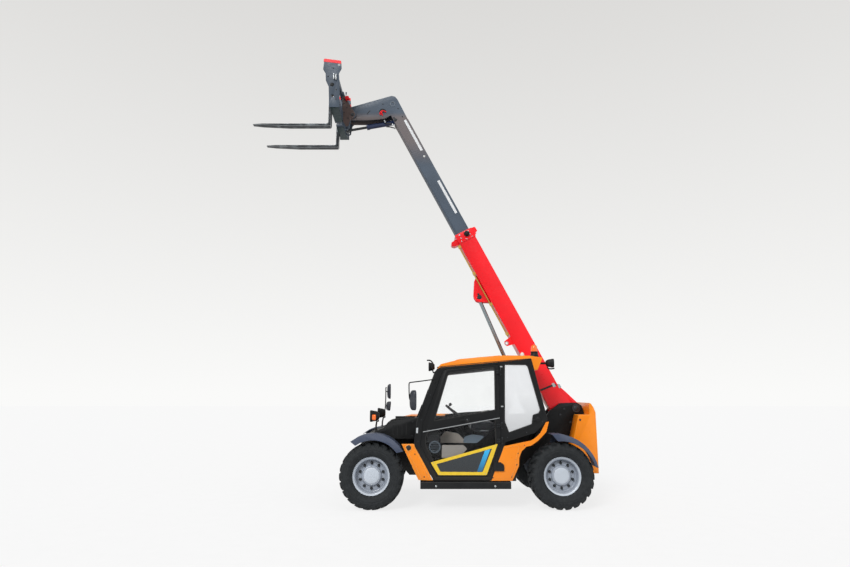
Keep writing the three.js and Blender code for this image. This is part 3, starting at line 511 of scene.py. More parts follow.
CAST = cast_iron()
FORK_STEEL = forged_fork()
CHROME = plated("hard_chromed_rod", "#8F999D", 0.24, (40.0, 700.0, 40.0))
ZINC = plated("yellow_zinc_plated_pipe", "#C9A65A", 0.26, (90.0, 90.0, 90.0))
BRIGHT_STEEL = plated("zinc_plated_bolt", "#B4B8BA", 0.32, (150.0, 150.0, 150.0))
PIN_STEEL = plated("phosphated_pin", "#3A3D40", 0.35, (150.0, 150.0, 150.0), 0.8)
print("metals ready")

# %% [markdown]
# ### Rubber and moulded plastic
#
# Tyre rubber is matt and slightly blue black where it is new, and grey with dust in patches.
# Fenders and hoods are moulded polyethylene or ABS with a leather-like grain of about 1.5 mm, which
# is drawn 2.2 mm wide here so that it shows.

# %% Rubber, plastics and fabric
def rubber(name, code, dusty, grain=2.0, rough=0.78, dust_code="#6E675D"):
    """Matt rubber: a fine noise grain in the bump, and dust where a 45 mm noise is high."""
    made = _, tree, _, place = new_finish(name)
    spread = ramp(tree, noise(tree, place, 45, 6.0, 0.62), [(0.42, grey(0.0)), (0.75, grey(dusty))])
    return surfaced(made,
                    {"Base Color": blend(tree, spread, linear(code), linear(dust_code)), "Roughness": rough,
                           "Normal": relief(tree, noise(tree, place, grain), 0.18, 0.4),
                           "Specular IOR Level": 0.4})


def grained_plastic(name, code, rough=0.45, grain=2.2, depth=0.25, dusty=0.1, gloss_level=0.4):
    """Moulded plastic: rounded cells of the given size in mm raise the bump, wear lightens it in patches."""
    made = _, tree, _, place = new_finish(name)
    cells = add(tree, "ShaderNodeTexVoronoi", {"Vector": place, "Scale": 1 / (grain * MM)}, feature="SMOOTH_F1")
    patch = noise(tree, place, 120, 5.0)
    base = linear(code)
    pale = tuple(c + (0.30 - c) * dusty for c in base[:3]) + (1.0,)
    colour = ramp(tree, patch, [(0.35, base), (0.8, pale)])
    gloss = ramp(tree, patch, [(0.3, grey(rough)), (0.8, grey(min(1.0, rough * 1.4)))])
    return surfaced(made, {"Base Color": colour, "Roughness": gloss, "Specular IOR Level": gloss_level,
                           "Normal": relief(tree, cells.outputs["Distance"], depth, 0.3)})


def wave_scale(spacing):
    """The scale for bands that many mm apart: at scale 1 a wave texture repeats every pi / 10 metres."""
    return math.pi / 10 / (spacing * MM)


def seat_cloth():
    """Woven polyester: two crossed waves 5.92 mm apart, drawn coarse so that they show, with a fibre sheen."""
    made = _, tree, _, place = new_finish("woven_seat_cloth")
    waves = [add(tree, "ShaderNodeTexWave", {"Vector": place, "Scale": wave_scale(5.92), "Distortion": 0.4},
                 bands_direction=d).outputs["Fac"] for d in ("Y", "DIAGONAL")]
    weave = calculated(tree, "MULTIPLY", *waves)
    colour = ramp(tree, weave, [(0.1, linear("#1C1F23")), (0.8, linear("#383D44"))])
    return surfaced(made,
                    {"Base Color": colour, "Roughness": 0.9, "Sheen Weight": 0.35,
                     "Normal": relief(tree, weave, 0.4, 0.6)})


TYRE_RUBBER = rubber("tyre_rubber", "#121619", 0.14, dust_code="#565A5C")
SEAL_RUBBER = rubber("seal_rubber", "#0E0F10", 0.12, rough=0.6)
HOSE_RUBBER = rubber("hydraulic_hose_rubber", "#111213", 0.15, 1.0, 0.55)
FENDER_PLASTIC = grained_plastic("blue_grey_moulded_fender", "#3C465C", 0.45, dusty=0.15)
BLACK_PLASTIC = grained_plastic("black_moulded_plastic", "#0B0D0F", 0.45, dusty=0.03, gloss_level=0.25)
VENT_PLASTIC = grained_plastic("dark_grey_cab_trim", "#4E5860", 0.5, dusty=0.0)
SILL_PLASTIC = grained_plastic("warm_grey_sill_trim", "#9E978F", 0.6, dusty=0.0)
# Blue-grey plastic used only as a painted bluish reflection seen on the lower door pane.
BLUE_REFLECTION_PLASTIC = grained_plastic("blue_grey_painted_reflection", "#7F8E9B", 0.5, dusty=0.0)
# Painted light: the same warm grey trim as the sill, made much lighter so that the unlit inside of the cab
# reads as lit.
LIGHTENED_PANEL_PLASTIC = grained_plastic("warm_grey_trim_painted_light", "#E2D8CC", 0.6, dusty=0.0)
PALE_PLASTIC = grained_plastic("white_moulded_plastic", "#D9DAD6", 0.4, dusty=0.02)
SEAT_CLOTH = seat_cloth()
print("rubber, plastics and cloth ready")

# %% [markdown]
# ### Glass, lenses and reflective film
#
# Cab glass is a thin pane, so it is drawn as a clear sheet that lets light straight through with a
# reflecting skin on top, not as a solid block of glass. Lenses are coloured acrylic. Reflective film
# holds rows of tiny prisms, which look like a pale honeycomb from close by.

# %% Clear things
def thin_glass(name, tint, film, smear=0.03, low=0.0, high=0.0):
    """A pane: light passes tinted, its skin reflects by Fresnel, a pale film of dust lies on it, and a painted
    sky reflection whitens it more from 1.05 m up to 1.45 m.
    """
    material, tree, output, place = new_finish(name)
    smears = ramp(tree, noise(tree, place, 250, 6.0, 0.7), [(0.4, grey(film)), (0.75, grey(film + smear))])
    # Painted sky reflection: the white haze grows with height, from low at 1.05 m to high at 1.45 m.
    sky_reflection_by_height = add(tree, "ShaderNodeMapRange",
                {"Value": height_of(tree, place), "From Min": 1.05, "From Max": 1.45,
                                             "To Min": low, "To Max": high}).outputs[0]
    share = calculated(tree, "ADD", smears, sky_reflection_by_height)
    clear = add(tree, "ShaderNodeBsdfTransparent", {"Color": linear(tint)}).outputs[0]
    skin = add(tree, "ShaderNodeBsdfGlossy", {"Color": grey(0.5), "Roughness": 0.05}).outputs[0]
    haze = add(tree, "ShaderNodeBsdfDiffuse", {"Color": linear("#FAFCFE")}).outputs[0]
    hazy = add(tree, "ShaderNodeMixShader", {0: share, 1: clear, 2: haze}).outputs[0]
    mirror = add(tree, "ShaderNodeFresnel", {"IOR": 1.22}).outputs[0]
    pane = add(tree, "ShaderNodeMixShader", {0: mirror, 1: hazy, 2: skin}).outputs[0]
    tree.links.new(pane, output.inputs["Surface"])
    return material


def lens(name, code, rough=0.12, rib=15.78, glow=0.0):
    """Moulded acrylic: ribs of the given spacing in mm in the bump, part of the light passing through."""
    made = _, tree, _, place = new_finish(name)
    ribs = add(tree, "ShaderNodeTexWave", {"Vector": place, "Scale": wave_scale(rib)}, bands_direction="Z")
    base = linear(code)
    colour = ramp(tree, noise(tree, place, 20), [(0.3, scaled(base, 0.85)), (0.7, base)])
    return surfaced(made,
                    {"Base Color": colour, "Roughness": rough, "Coat Weight": 0.6, "Transmission Weight": 0.25,
                           "Normal": relief(tree, ribs.outputs["Fac"], 0.35, 1.0),
                           "Emission Color": base, "Emission Strength": glow})


def reflective_film():
    """Prism film: pale cells with thin grey walls, drawn 9 mm wide, coarser than real, so that they show."""
    made = _, tree, _, place = new_finish("reflective_prism_film")
    cells = add(tree, "ShaderNodeTexVoronoi", {"Vector": place, "Scale": 1 / (9 * MM)},
                feature="DISTANCE_TO_EDGE")
    colour = ramp(tree, cells.outputs["Distance"], [(0.03, linear("#B9BEC2")), (0.12, linear("#F4F6F7"))])
    return surfaced(made, {"Base Color": colour, "Roughness": 0.25, "Coat Weight": 0.5})


def printed_film(name, code, code_2=None, low=0.0, high=1.0):
    """Vinyl film, glossy, its print shaded along the height between two levels where it has two colours."""
    made = _, tree, _, place = new_finish(name)
    along = add(tree, "ShaderNodeMapRange",
                {"Value": height_of(tree, place), "From Min": low, "From Max": high}).outputs[0]
    colour = ramp(tree, along, [(0.0, linear(code)), (1.0, linear(code_2 or code))])
    gloss = ramp(tree, noise(tree, place, 50, 4.0), [(0.3, grey(0.22)), (0.8, grey(0.4))])
    return surfaced(made, {"Base Color": colour, "Roughness": gloss, "Coat Weight": 0.4})


def mirror_glass():
    """Silvered glass with a slightly grey first surface and a haze that varies over 60 mm."""
    made = _, tree, _, place = new_finish("silvered_mirror_glass")
    haze = noise(tree, place, 60)
    gloss = ramp(tree, haze, [(0.4, grey(0.02)), (0.8, grey(0.07))])
    colour = ramp(tree, haze, [(0.3, linear("#C6CCD0")), (0.8, linear("#D6DADD"))])
    return surfaced(made, {"Base Color": colour, "Metallic": 1.0, "Roughness": gloss})


CAB_GLASS = thin_glass("thin_cab_glass", "#FEFFFF", 0.005)
UPPER_GLASS = thin_glass("upper_door_glass", "#FFFFFF", 0.0, 0.012, 0.0, 0.03)
# The quarter pane carries a strong painted sky reflection, the upper door pane a faint one.
QUARTER_GLASS = thin_glass("quarter_glass_painted_sky_reflection", "#FDFEFF", 0.02, 0.03, 0.5, 0.78)
DOOR_GLASS = thin_glass("lower_door_glass", "#FCFDFE", 0.0, 0.01)
AMBER = lens("amber_acrylic_lens", "#FF7A0A", glow=0.15)
RED_LENS = lens("red_acrylic_lens", "#C81018")
CLEAR_LENS = lens("clear_acrylic_lens", "#D8DEE2", 0.08)
FILM = reflective_film()
YELLOW_FILM = printed_film("yellow_vinyl_film", "#EBC520")
DARK_FILM = printed_film("dark_vinyl_film", "#141B20", "#1C262C", 0.45, 0.75)
BLUE_FILM = printed_film("blue_vinyl_film", "#0C4C78", "#2AB4F0", 0.45, 0.72)
MIRROR = mirror_glass()
print("clear things and films ready")

# %% [markdown]
# ## The frame's own solids
#
# Plates, tubes and cast ends already have their true shape, so they keep it. Each gets its finish
# and a small rounding on its sharp edges, as a real plate has from grinding and paint. The rounded
# strip has its own material slot: on enamel it is chipped where paint wears first and a little lighter
# as a painted highlight, and on the forks it is bright steel.

# %% Dress the frame
FINISHES = {
    "chassis_frame": (BLACK, BLACK_EDGE_HIGHLIGHT, 2.5), "front_axle": (CAST, None, 3), "rear_axle": (CAST, None, 3),
    "front_track_rod": (PIN_STEEL, None, 0), "rear_track_rod": (PIN_STEEL, None, 0),
    "boom_outer": (RED, RED_EDGE_HIGHLIGHT, 3), "boom_inner": (BOOM_SLATE, SLATE_EDGE_HIGHLIGHT, 3), "boom_pipes": (ZINC, None, 0),
    "carriage": (SLATE, SLATE_EDGE_HIGHLIGHT, 2.5), "fork_left": (FORK_STEEL, BRIGHT_STEEL, 3),
    "fork_right": (FORK_STEEL, BRIGHT_STEEL, 3), "lift_cylinder_barrel": (BLACK, None, 2),
    "lift_cylinder_rod": (CHROME, None, 1.5), "tilt_cylinder_barrel": (NAVY, None, 1.5),
    "tilt_cylinder_rod": (PIN_STEEL, None, 1), "cab_frame": (BLACK, BLACK_EDGE_HIGHLIGHT, 4),
    "cab_door": (BLACK, BLACK_EDGE_HIGHLIGHT, 3), "windscreen": (CAB_GLASS, None, 0), "rear_window": (CAB_GLASS, None, 0),
    "left_quarter_glass": (QUARTER_GLASS, None, 0), "right_side_glass": (CAB_GLASS, None, 0),
    "door_upper_glass": (UPPER_GLASS, None, 0), "door_lower_glass": (DOOR_GLASS, None, 0),
    "cab_roof": (ORANGE, ORANGE_EDGE_HIGHLIGHT, 6), "seat_base": (BLACK_PLASTIC, None, 6),
    "front_side_panel": (ORANGE, ORANGE_EDGE_HIGHLIGHT, 5), "rear_side_panel": (ORANGE, ORANGE_EDGE_HIGHLIGHT, 5),
    "right_side_panel": (ORANGE, ORANGE_EDGE_HIGHLIGHT, 5), "engine_hood": (ORANGE, ORANGE_EDGE_HIGHLIGHT, 4),
    "rear_weight": (ORANGE, ORANGE_EDGE_HIGHLIGHT, 6), "side_step": (BLACK_PLASTIC, None, 6),
    "front_hood_left": (BLACK_PLASTIC, None, 3), "front_cover_right": (BLACK_PLASTIC, None, 3),
    "engine": (CAST, None, 8), "dashboard": (BLACK_PLASTIC, None, 3),
}
for end in ("front", "rear"):
    for hand in ("left", "right"):
        FINISHES[f"{end}_{hand}_knuckle"] = (CAST, None, 3)
        FINISHES[f"{end}_{hand}_fender"] = (FENDER_PLASTIC, None, 2.5)
for node, (finish, edge, width) in FINISHES.items():
    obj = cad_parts[node]
    obj.data.materials.clear()
    obj.data.materials.append(finish)
    if edge:
        obj.data.materials.append(edge)
    dress(obj, width, 30, edge_material=1 if edge else -1)
print(len(FINISHES), "frame solids dressed")

# %% [markdown]
# ## Tyres
#
# An industrial tyre has slanted bars, the two halves of the tread staggered by half a pitch, and the
# bars wrap a little way down the shoulder. The carcass is one turned profile with a rim guard and
# fine rings on its side. A bar is a four sided tube along a slanted path that follows the crown of
# the carcass; one bar is worked out and then turned to its places in one step.

# %% Tyre
TYRE_R, BARS = 417.5, 22
CROWN_Y = [0, 60, 95, 118, 134, 146, 153, 155]
CROWN_R = [417.4, 417.2, 415.5, 411.0, 402.0, 386.0, 366.0, 345.0]


def carcass():
    """Profile from bead to bead: side wall with a guard rib and rings, then the tread's base."""
    side = np.array([(214, 103), (226, 108), (240, 112), (246, 124), (254, 129), (262, 132), (272, 141),
                     (290, 149), (306, 152.5), (309, 154.2), (312, 152.7), (330, 153.6), (333, 155),
                     (336, 153.8), (352, 152), (368, 146), (380, 136), (387.5, 120), (390, 90), (391, 45)])
    return np.concatenate([side, side[::-1] * [1, -1]])


def tread_bars():
    """A bar's section runs from the base to the crown; its middle slants back as it goes outwards."""
    t = np.linspace(0, 1, 12)
    y = -14 + t * 166
    slant = 92 * (1 - np.cos(np.clip((y + 14) / 134, 0, 1) * np.pi / 2.2))
    top = np.interp(np.abs(y), CROWN_Y, CROWN_R)
    base = np.interp(np.abs(y), [0, 90, 120, 136, 146, 152], [388, 388, 385, 376, 360, 342])
    width_top = np.interp(t, [0, 0.15, 0.8, 1], [34, 40, 44, 48]) / 2
    width_base = width_top + 7
    rows = []
    for radius, half_width in ((base, -width_base), (top - 2.5, -width_top - 0.6), (top, -width_top + 2),
                               (top, width_top - 2), (top - 2.5, width_top + 0.6), (base, width_base)):
        angle = (slant + half_width) / TYRE_R
        rows.append(np.stack([radius * np.sin(angle), y, radius * np.cos(angle)], -1))
    one = np.stack(rows, 1)
    steps = np.arange(BARS) * 2 * np.pi / BARS
    both = []
    for side, shift in ((1, 0.0), (-1, np.pi / BARS)):
        c, s = np.cos(steps + shift)[:, None, None], np.sin(steps + shift)[:, None, None]
        x, yy, z = one[..., 0], one[..., 1] * side, one[..., 2]
        both.append(np.stack([x * c + z * s, np.broadcast_to(yy, (BARS, *yy.shape)), z * c - x * s], -1))
    faces = grid_faces(12, 6, wrap_columns=True).tolist() + [[0, 1, 2, 3, 4, 5][::-1], [66, 67, 68, 69, 70, 71]]
    parts = []
    for k, side in enumerate(both):
        turned_faces = faces if k else [f[::-1] for f in faces]
        parts += [(bar.reshape(-1, 3), turned_faces) for bar in side]
    return gather(*parts)


def wheel_centre(end, hand):
    """The middle of one wheel, in mm."""
    return np.array([0.0 if end == "front" else WHEELBASE, WHEEL_Y * (-1 if hand == "left" else 1), AXLE_Z])


bars_p, bars_f = tread_bars()
closed_carcass = np.concatenate([carcass(), carcass()[:1]])
shell_p, shell_f = turned(closed_carcass, (0, 0, 0), segments=120)
tyre_p, tyre_f = gather((shell_p, shell_f), (bars_p, bars_f))
for end in ("front", "rear"):
    for hand in ("left", "right"):
        part = (tyre_p, tyre_f)
        if hand == "left":
            part = mirrored(part)
        piece(f"{end}_{hand}_treaded_tyre", (part[0] + wheel_centre(end, hand), part[1]), f"{end}_{hand}_wheel",
              TYRE_RUBBER, f"{end}_{hand}_tyre", smooth=34)
print("tyre", len(tyre_f), "faces")

# %% [markdown]
# ## Wheels
#
# The rim is pressed from thick plate and welded to a disc: a rolled edge, a deep well, and ten nuts
# round a broad hub cap. The rolled edge and the cap are a lighter silver, as a painted highlight.
# The turned profile gives the pressing, short tubes and prisms give the nuts and the studs, and a small
# bent pipe gives the valve.

# %% Rims, nuts, hub caps and valves
RIM_PROFILE = [(0, 66), (80, 66), (112, 65), (120, 62), (124, 57), (125.5, 50), (130, 43), (134, 35),
               (152, 33.5), (176, 31), (190, 27), (197, 30), (200.5, 42), (201, 84), (203, 97), (209, 105),
               (219, 107), (229, 112), (235, 117.5), (237.6, 121.5), (237.9, 119), (236, 113), (229, 108.5),
               (219, 103.5), (211, 102), (208, 95), (206, 60), (203, 0), (206, -60), (208, -95), (211, -102),
               (219, -103.5), (229, -108.5), (236, -113), (237.9, -119), (237.6, -121.5), (235, -117.5),
               (229, -112), (219, -107), (209, -105), (203, -97), (201, -60), (200, 6), (194, 14), (176, 17),
               (150, 19), (106, 19), (95, 10), (95, -59), (0, -59)]
rim_part = turned(RIM_PROFILE, (0, 0, 0), segments=96)
cap_part = turned([(0, 71), (40, 71), (84, 70), (96, 67.5), (99, 65.8), (99, 60)], (0, 0, 0), segments=64)
NUT_CIRCLE = circle_of(10, 155, (0, 33, 0))
nuts = bolts(NUT_CIRCLE, (0, 1, 0), 32, 20)
studs = gather(*[pipe([c, c + [0, 33, 0]], 7, 10) for c in NUT_CIRCLE])
cap_bolts = bolts(circle_of(6, 109, (0, 64.5, 0)), (0, 1, 0), 11, 5)
valve = bent_pipe([(0, 30, 176), (0, 48, 178), (0, 66, 186), (0, 84, 190)], 4,
                  [5, 5, 5, 5, 4.5, 4.5, 4.5, 4.5, 4, 4, 4, 4, 4], 10)
# A thin ring over the rolled edge, in the lighter silver, as a painted highlight.
rim_edge = turned([(219, 107.7), (229, 112.6), (234.4, 118), (236.4, 121.6), (238, 121.9), (238.8, 120.4),
                   (238.6, 117)], (0, 0, 0), segments=96)


def flip_out(part):
    """Turns every face of a part round."""
    return part[0], [list(f)[::-1] for f in part[1]]


for end in ("front", "rear"):
    for hand in ("left", "right"):
        centre, body = wheel_centre(end, hand), f"{end}_{hand}_wheel"
        own = (lambda p: p) if hand == "right" else mirrored
        for name, part, finish, node, smooth in (
                ("rim_pressing", flip_out(rim_part), WHEEL_SILVER, f"{end}_{hand}_rim", 35),
                ("hub_cap", flip_out(cap_part), WHEEL_HIGHLIGHT, (), 35), ("rim_edge", flip_out(rim_edge),
                                                                        WHEEL_HIGHLIGHT, (), 50),
                ("wheel_nuts", nuts, PIN_STEEL, (), 30),
                ("wheel_studs", studs, PIN_STEEL, (), 30), ("hub_cap_bolts", cap_bolts, BRIGHT_STEEL, (), 30),
                ("valve", valve, BLACK_PLASTIC, (), 30)):
            p, f = own(part)
            piece(f"{end}_{hand}_{name}", (p + centre, f), body, finish,
                  node, smooth=smooth)
print("four wheels dressed")

# %% [markdown]
# ## Boom: pins, pads, hoses and strips
#
# On the real boom the wear pads inside the collar are held by bolts that show on its sides, a black
# cap closes a round boss there, and the pins end in flat keeper plates with one bolt. Two pale
# reflective strips run along each side of the inner tube.

# %% Boom fittings
BOOM_UP = on_boom(0, 1, 0) - on_boom(0, 0, 0)
ACROSS = np.array([0.0, 1.0, 0.0])


def strip_on_boom(outline, near, far):
    """A thin plate cut in the boom's own (u, v) ruler, from one depth across the boom to another."""
    q = np.asarray(outline, float)
    n = len(q)
    p = np.concatenate([on_boom(q[:, 0], q[:, 1], np.full(n, d)) for d in (near, far)])
    nxt = (np.arange(n) + 1) % n
    faces = np.stack([np.arange(n), nxt, nxt + n, np.arange(n) + n], -1).tolist()
    faces += [list(range(n))[::-1], list(range(n, 2 * n))]
    turn = np.sum(q[:, 0] * np.roll(q[:, 1], -1) - np.roll(q[:, 0], -1) * q[:, 1])
    if (turn > 0) != (far < near):
        faces = [f[::-1] for f in faces]
    return p, faces


def cut_on_boom(outline, corner, near, far):
    """The same with the outline's corners rounded."""
    return strip_on_boom(rounded(outline, corner), near, far)


def keeper(u, v, depth, side, radius):
    """A pin's end: a chamfered disc with a flat keeper plate and one bolt, on one side of the boom."""
    out = -1 if side < 0 else 1
    ring = [(0, 9), (radius * 0.55, 9), (radius * 0.92, 8), (radius, 6), (radius, 0)]
    c = on_boom(u, v, depth)
    disc = turned([(r, h * out) for r, h in ring], c, segments=32)
    disc = flip_out(disc) if out > 0 else disc
    a, b = radius * 0.5, radius * 1.5
    tab = strip_on_boom([(u - 9, v - 12), (u + b + 14, v - 12), (u + b + 14, v + 12), (u - 9, v + 12)],
                        depth + 9 * out, depth + 14 * out)
    head = bolts([on_boom(u + b, v, depth + 14 * out)], ACROSS * out, 16)
    return gather(disc, tab, head)


def cap_pair(profile, left, right, segments=32):
    """A turned cap on each side: its heights point outwards from the left centre and from the right one."""
    ends = [turned([(r, h * s) for r, h in profile], c, segments=segments) for c, s in ((left, -1), (right, 1))]
    return gather(ends[0], flip_out(ends[1]))


def boom_caps(profile, u, v, depth, segments=32):
    """A cap on both sides of the boom, at that depth from its middle."""
    return cap_pair(profile, on_boom(u, v, -depth), on_boom(u, v, depth), segments)


INNER_SIDE, COLLAR_SIDE = 90, 123
boom_pins = gather(*[keeper(2079, -441, 56 * s, s, 31) for s in BOTH],
                   *[pipe([on_boom(2079, -455, 57 * s), on_boom(2079, -455, 43 * s)], 25, 24) for s in BOTH])
piece("lift_pin", boom_pins, "boom", PIN_STEEL, bevel=0.8, smooth=35)
collar_bolts = gather(*[bolts([on_boom(u, v, COLLAR_SIDE * s) for u in (3005, 3060) for v in (-120, -270)],
                              ACROSS * s, 19) for s in BOTH],
                      *[bolts([on_boom(2958, v, COLLAR_SIDE * s) for v in (-105, -195, -285)], ACROSS * s, 15)
                        for s in BOTH],
                      bolts([on_boom(u, -52, y) for u in (3000, 3055) for y in (-40, 40)], BOOM_UP, 19),
                      bolts([on_boom(3060, -338, y) for y in (-80, 80)], -BOOM_UP, 19))
piece("collar_bolts", collar_bolts, "boom", BRIGHT_STEEL, smooth=30)
cap_profile = [(0, 42), (20, 41), (27, 36), (30, 28), (38, 26), (42, 20), (44, 0)]
piece("collar_pivot_caps", boom_caps(cap_profile, 3032, -160, COLLAR_SIDE, 40), "boom", BLACK_PLASTIC,
      smooth=35)
weld_runs = gather(*[pipe([on_boom(u, v, y * s) for u in np.linspace(440, 2935, 60)], 3.2, 6)
                     for s in BOTH for v, y in ((-63, 113.5), (-327, 113.5))])
piece("boom_weld_seams", weld_runs, "boom", RED, smooth=80)
ear_weld = gather(*[bent_pipe([on_boom(u, v, y * s) for u, v in ((2395, -331), (2200, -331.5), (1925, -331))],
                              10, 4, 6)
                    for s in BOTH for y in (36, 58)])
piece("lug_weld_seams", ear_weld, "boom", RED, smooth=80)
bushes = cap_pair([(16, 4), (26, 4), (28, 2), (28, 0)], on_boom(1280, -425, -98), on_boom(1280, -425, -84), 28)
piece("small_lug_bushes", bushes, "boom", BRIGHT_STEEL, smooth=35)

inner_strips = gather(*[strip_on_boom([(a, -120), (b, -120), (b, -160), (a, -160)], 90.1 * s, 90.3 * s)
                        for s in BOTH for a, b in ((3407, 4008), (4575, 5165))])
piece("reflective_strips", inner_strips, "inner_boom", FILM)
marks = boom_caps([(0, 2.4), (14, 2.2), (17, 0)], 4470, -150, INNER_SIDE, 24)
piece("boom_length_marks", marks, "inner_boom", PALE_PLASTIC, smooth=35)
inner_weld = gather(*[pipe([on_boom(u, v, 88.5 * s) for u in np.linspace(3150, 5150, 50)], 2.6, 6)
                      for s in BOTH for v in (-91, -299)])
piece("inner_weld_seams", inner_weld, "inner_boom", SLATE, smooth=80)
# The boss rings take the lighter slate edge finish: a painted highlight round the bosses.
head_rings = boom_caps([(30, 0), (33, 5), (44, 5), (47, 0)], 5504, -190, INNER_SIDE, 40)
piece("head_bosses", head_rings, "inner_boom", SLATE_EDGE_HIGHLIGHT, smooth=35)
head_bolts = gather(*[bolts([on_boom(u, v, INNER_SIDE * s)
                             for u, v in ((5235, -150), (5235, -255), (5395, -150), (5330, -390),
                                          (5575, -330))],
                            ACROSS * s, 17) for s in BOTH])
piece("head_bolts", head_bolts, "inner_boom", PIN_STEEL, smooth=30)
tilt_pins = gather(*[keeper(5236, -280, 90 * s, s, 24) for s in BOTH])
piece("tilt_base_pin", tilt_pins, "inner_boom", PIN_STEEL, bevel=0.8, smooth=35)
# Thin black plates on the head's sides: painted shade for slots.
slot_marks = gather(*[cut_on_boom([(5560, -560), (5572, -566), (5540, -640), (5528, -634)], 5, 90.2 * s,
                                  91.2 * s) for s in BOTH])
piece("head_slot_painted_shade", slot_marks, "inner_boom", BLACK_PLASTIC)
# Thin black crescents on the head's sides: painted shade in a round recess.
crescent_angle = np.radians(np.linspace(-70, 110, 15))
crescent = np.concatenate([np.stack([5452 + 58 * np.cos(crescent_angle), -395 + 58 * np.sin(crescent_angle)],
                                    -1),
                           np.stack([5440 + 36 * np.cos(crescent_angle), -398 + 38 * np.sin(crescent_angle)],
                                    -1)[::-1]])
piece("head_recess_painted_shade", gather(*[strip_on_boom(crescent, 90.2 * s, 91.4 * s) for s in BOTH]), "inner_boom",
      BLACK_PLASTIC)
hook_route = smooth_path([on_boom(5420, -452, -96), on_boom(5448, -440, -106), on_boom(5462, -400, -110),
                          on_boom(5446, -366, -106), on_boom(5420, -352, -96)], 8)
hook_2 = smooth_path([on_boom(5392, -425, -95), on_boom(5422, -424, -108), on_boom(5452, -408, -104)], 8)
piece("red_hose_hook", gather(pipe(hook_route, 9, 12), pipe(hook_2, 8, 12)), "inner_boom", RED, smooth=60)
print("boom fittings made")

# %% [markdown]
# ### Hydraulic lines
#
# Oil reaches the boom through rubber hoses with crimped steel ends, then through plated pipes along
# its underside. A hose is a ring carried along a smooth curve; its crimped end is a short turned
# sleeve with a wider round collar behind it. Both ends of every hose here sit on the same body.

# %% Hoses
def hose(route, radius=11.0, steps=10):
    """A tube through the route's points, with a crimped sleeve and a wider round collar on each end."""
    path = smooth_path(route, steps)
    tube = pipe(path, radius, 14)
    ends = []
    for tip, inner in ((path[0], path[3]), (path[-1], path[-4])):
        d = (inner - tip) / np.linalg.norm(inner - tip)
        stations = np.array([0, 3, 12, 16, 18, 46, 50])
        radii = np.array([0.75, 1.35, 1.35, 1.0, 1.32, 1.32, 1.1]) * radius
        ends.append(pipe(tip + stations[:, None] * d, radii, 12))
    return tube, gather(*ends)


under_route = [on_boom(700, -346, 30), on_boom(600, -346, 10), on_boom(510, -346, -60),
               on_boom(456, -346, -104)]
over_route = [on_boom(414, -58, -106), on_boom(384, -50, -98), on_boom(320, -46, -72), on_boom(196, -48, -58)]
hoses, fittings = zip(hose(under_route, 9), hose(over_route, 9))
band = cut_on_boom([(466, -324), (440, -324), (424, -150), (404, -78), (430, -78), (450, -150)], 5, -115.3,
                   -120.2)
piece("boom_tail_hoses", gather(*hoses, band), "boom", HOSE_RUBBER, smooth=50)
piece("boom_tail_fittings", gather(*fittings), "boom", BRIGHT_STEEL, smooth=40)
side_clamp = gather(cut_on_boom([(402, -94), (462, -94), (462, -134), (402, -134)], 8, -115.2, -120.6),
                    cut_on_boom([(350, -66), (404, -66), (404, -30), (350, -30)], 6, -119, -84))
piece("hose_clamps", side_clamp, "boom", BRIGHT_STEEL, bevel=0.8)
head_routes = [[on_boom(5170, -318, y), on_boom(5230, -372, y * 1.05), on_boom(5270, -430, y),
                on_boom(5330, -430, y)] for y in (-58, 58)]
hoses, fittings = zip(*[hose(r, 9) for r in head_routes])
piece("head_hoses", gather(*hoses), "inner_boom", HOSE_RUBBER, smooth=60)
piece("head_fittings", gather(*fittings), "inner_boom", BRIGHT_STEEL, smooth=40)
print("hoses made")

# %% [markdown]
# ## Cab seals, rail, handle and door panel
#
# Each pane sits in a rubber profile that is pushed over the edge of the cut-out, so a soft black bead
# runs round every window. The door also has a bright steel strip along its waist that is a painted
# highlight, a round latch with a pull lever, hinge pins with domed ends, and a coloured panel screwed
# over the foot of the lower pane. Two bright plates on the pillar are painted highlights too.

# %% Window seals
DOOR_UPPER = [(806, 1104), (986, 1690), (1000, 1712), (1024, 1726), (1590, 1798), (1614, 1782), (1609, 1246)]
DOOR_LOWER = [(700, 800), (697, 900), (740, 978), (1604, 1130), (1610, 820), (1458, 466), (868, 466)]
QUARTER = [(1742, 1842), (2032, 1838), (2058, 1815), (2204, 1245), (2178, 1200), (2105, 1180), (2086, 1062),
           (1778, 955), (1724, 1100)]
RIGHT_WINDOW = [(836, 1140), (1000, 1700), (1024, 1726), (1640, 1790), (2030, 1800), (2060, 1775), (2196, 1250),
                (2110, 1170), (1000, 1120)]
DOORWAY = [(624, 800), (658, 1078), (905, 1714), (930, 1752), (968, 1774), (1664, 1842), (1676, 822),
           (1505, 412), (838, 412)]
CAB_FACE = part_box("cab_frame")[0][1] * 1000
CAB_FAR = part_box("cab_frame")[1][1] * 1000


def side_loop(outline, y, corner=16):
    """A closed path that follows a side outline, its corners rounded, at one depth across the machine."""
    q = rounded(outline, corner, 4)
    return np.stack([q[:, 0], np.full(len(q), float(y)), q[:, 1]], -1)


def screen_x(z, lean=((825, 546), (1101, 584), (1746, 828))):
    """Where the cab's front face stands at a height."""
    return np.interp(z, [p[0] for p in lean], [p[1] for p in lean])


def end_loop(heights, offset, xs):
    """A closed path round an end window: up one side at the xs of the heights, and down the other."""
    up = [(x + offset, CAB_FACE + 50, z) for x, z in zip(xs, heights)]
    down = [(x + offset, CAB_FAR - 50, z) for x, z in zip(xs[::-1], heights[::-1])]
    return np.array(up + down, float)


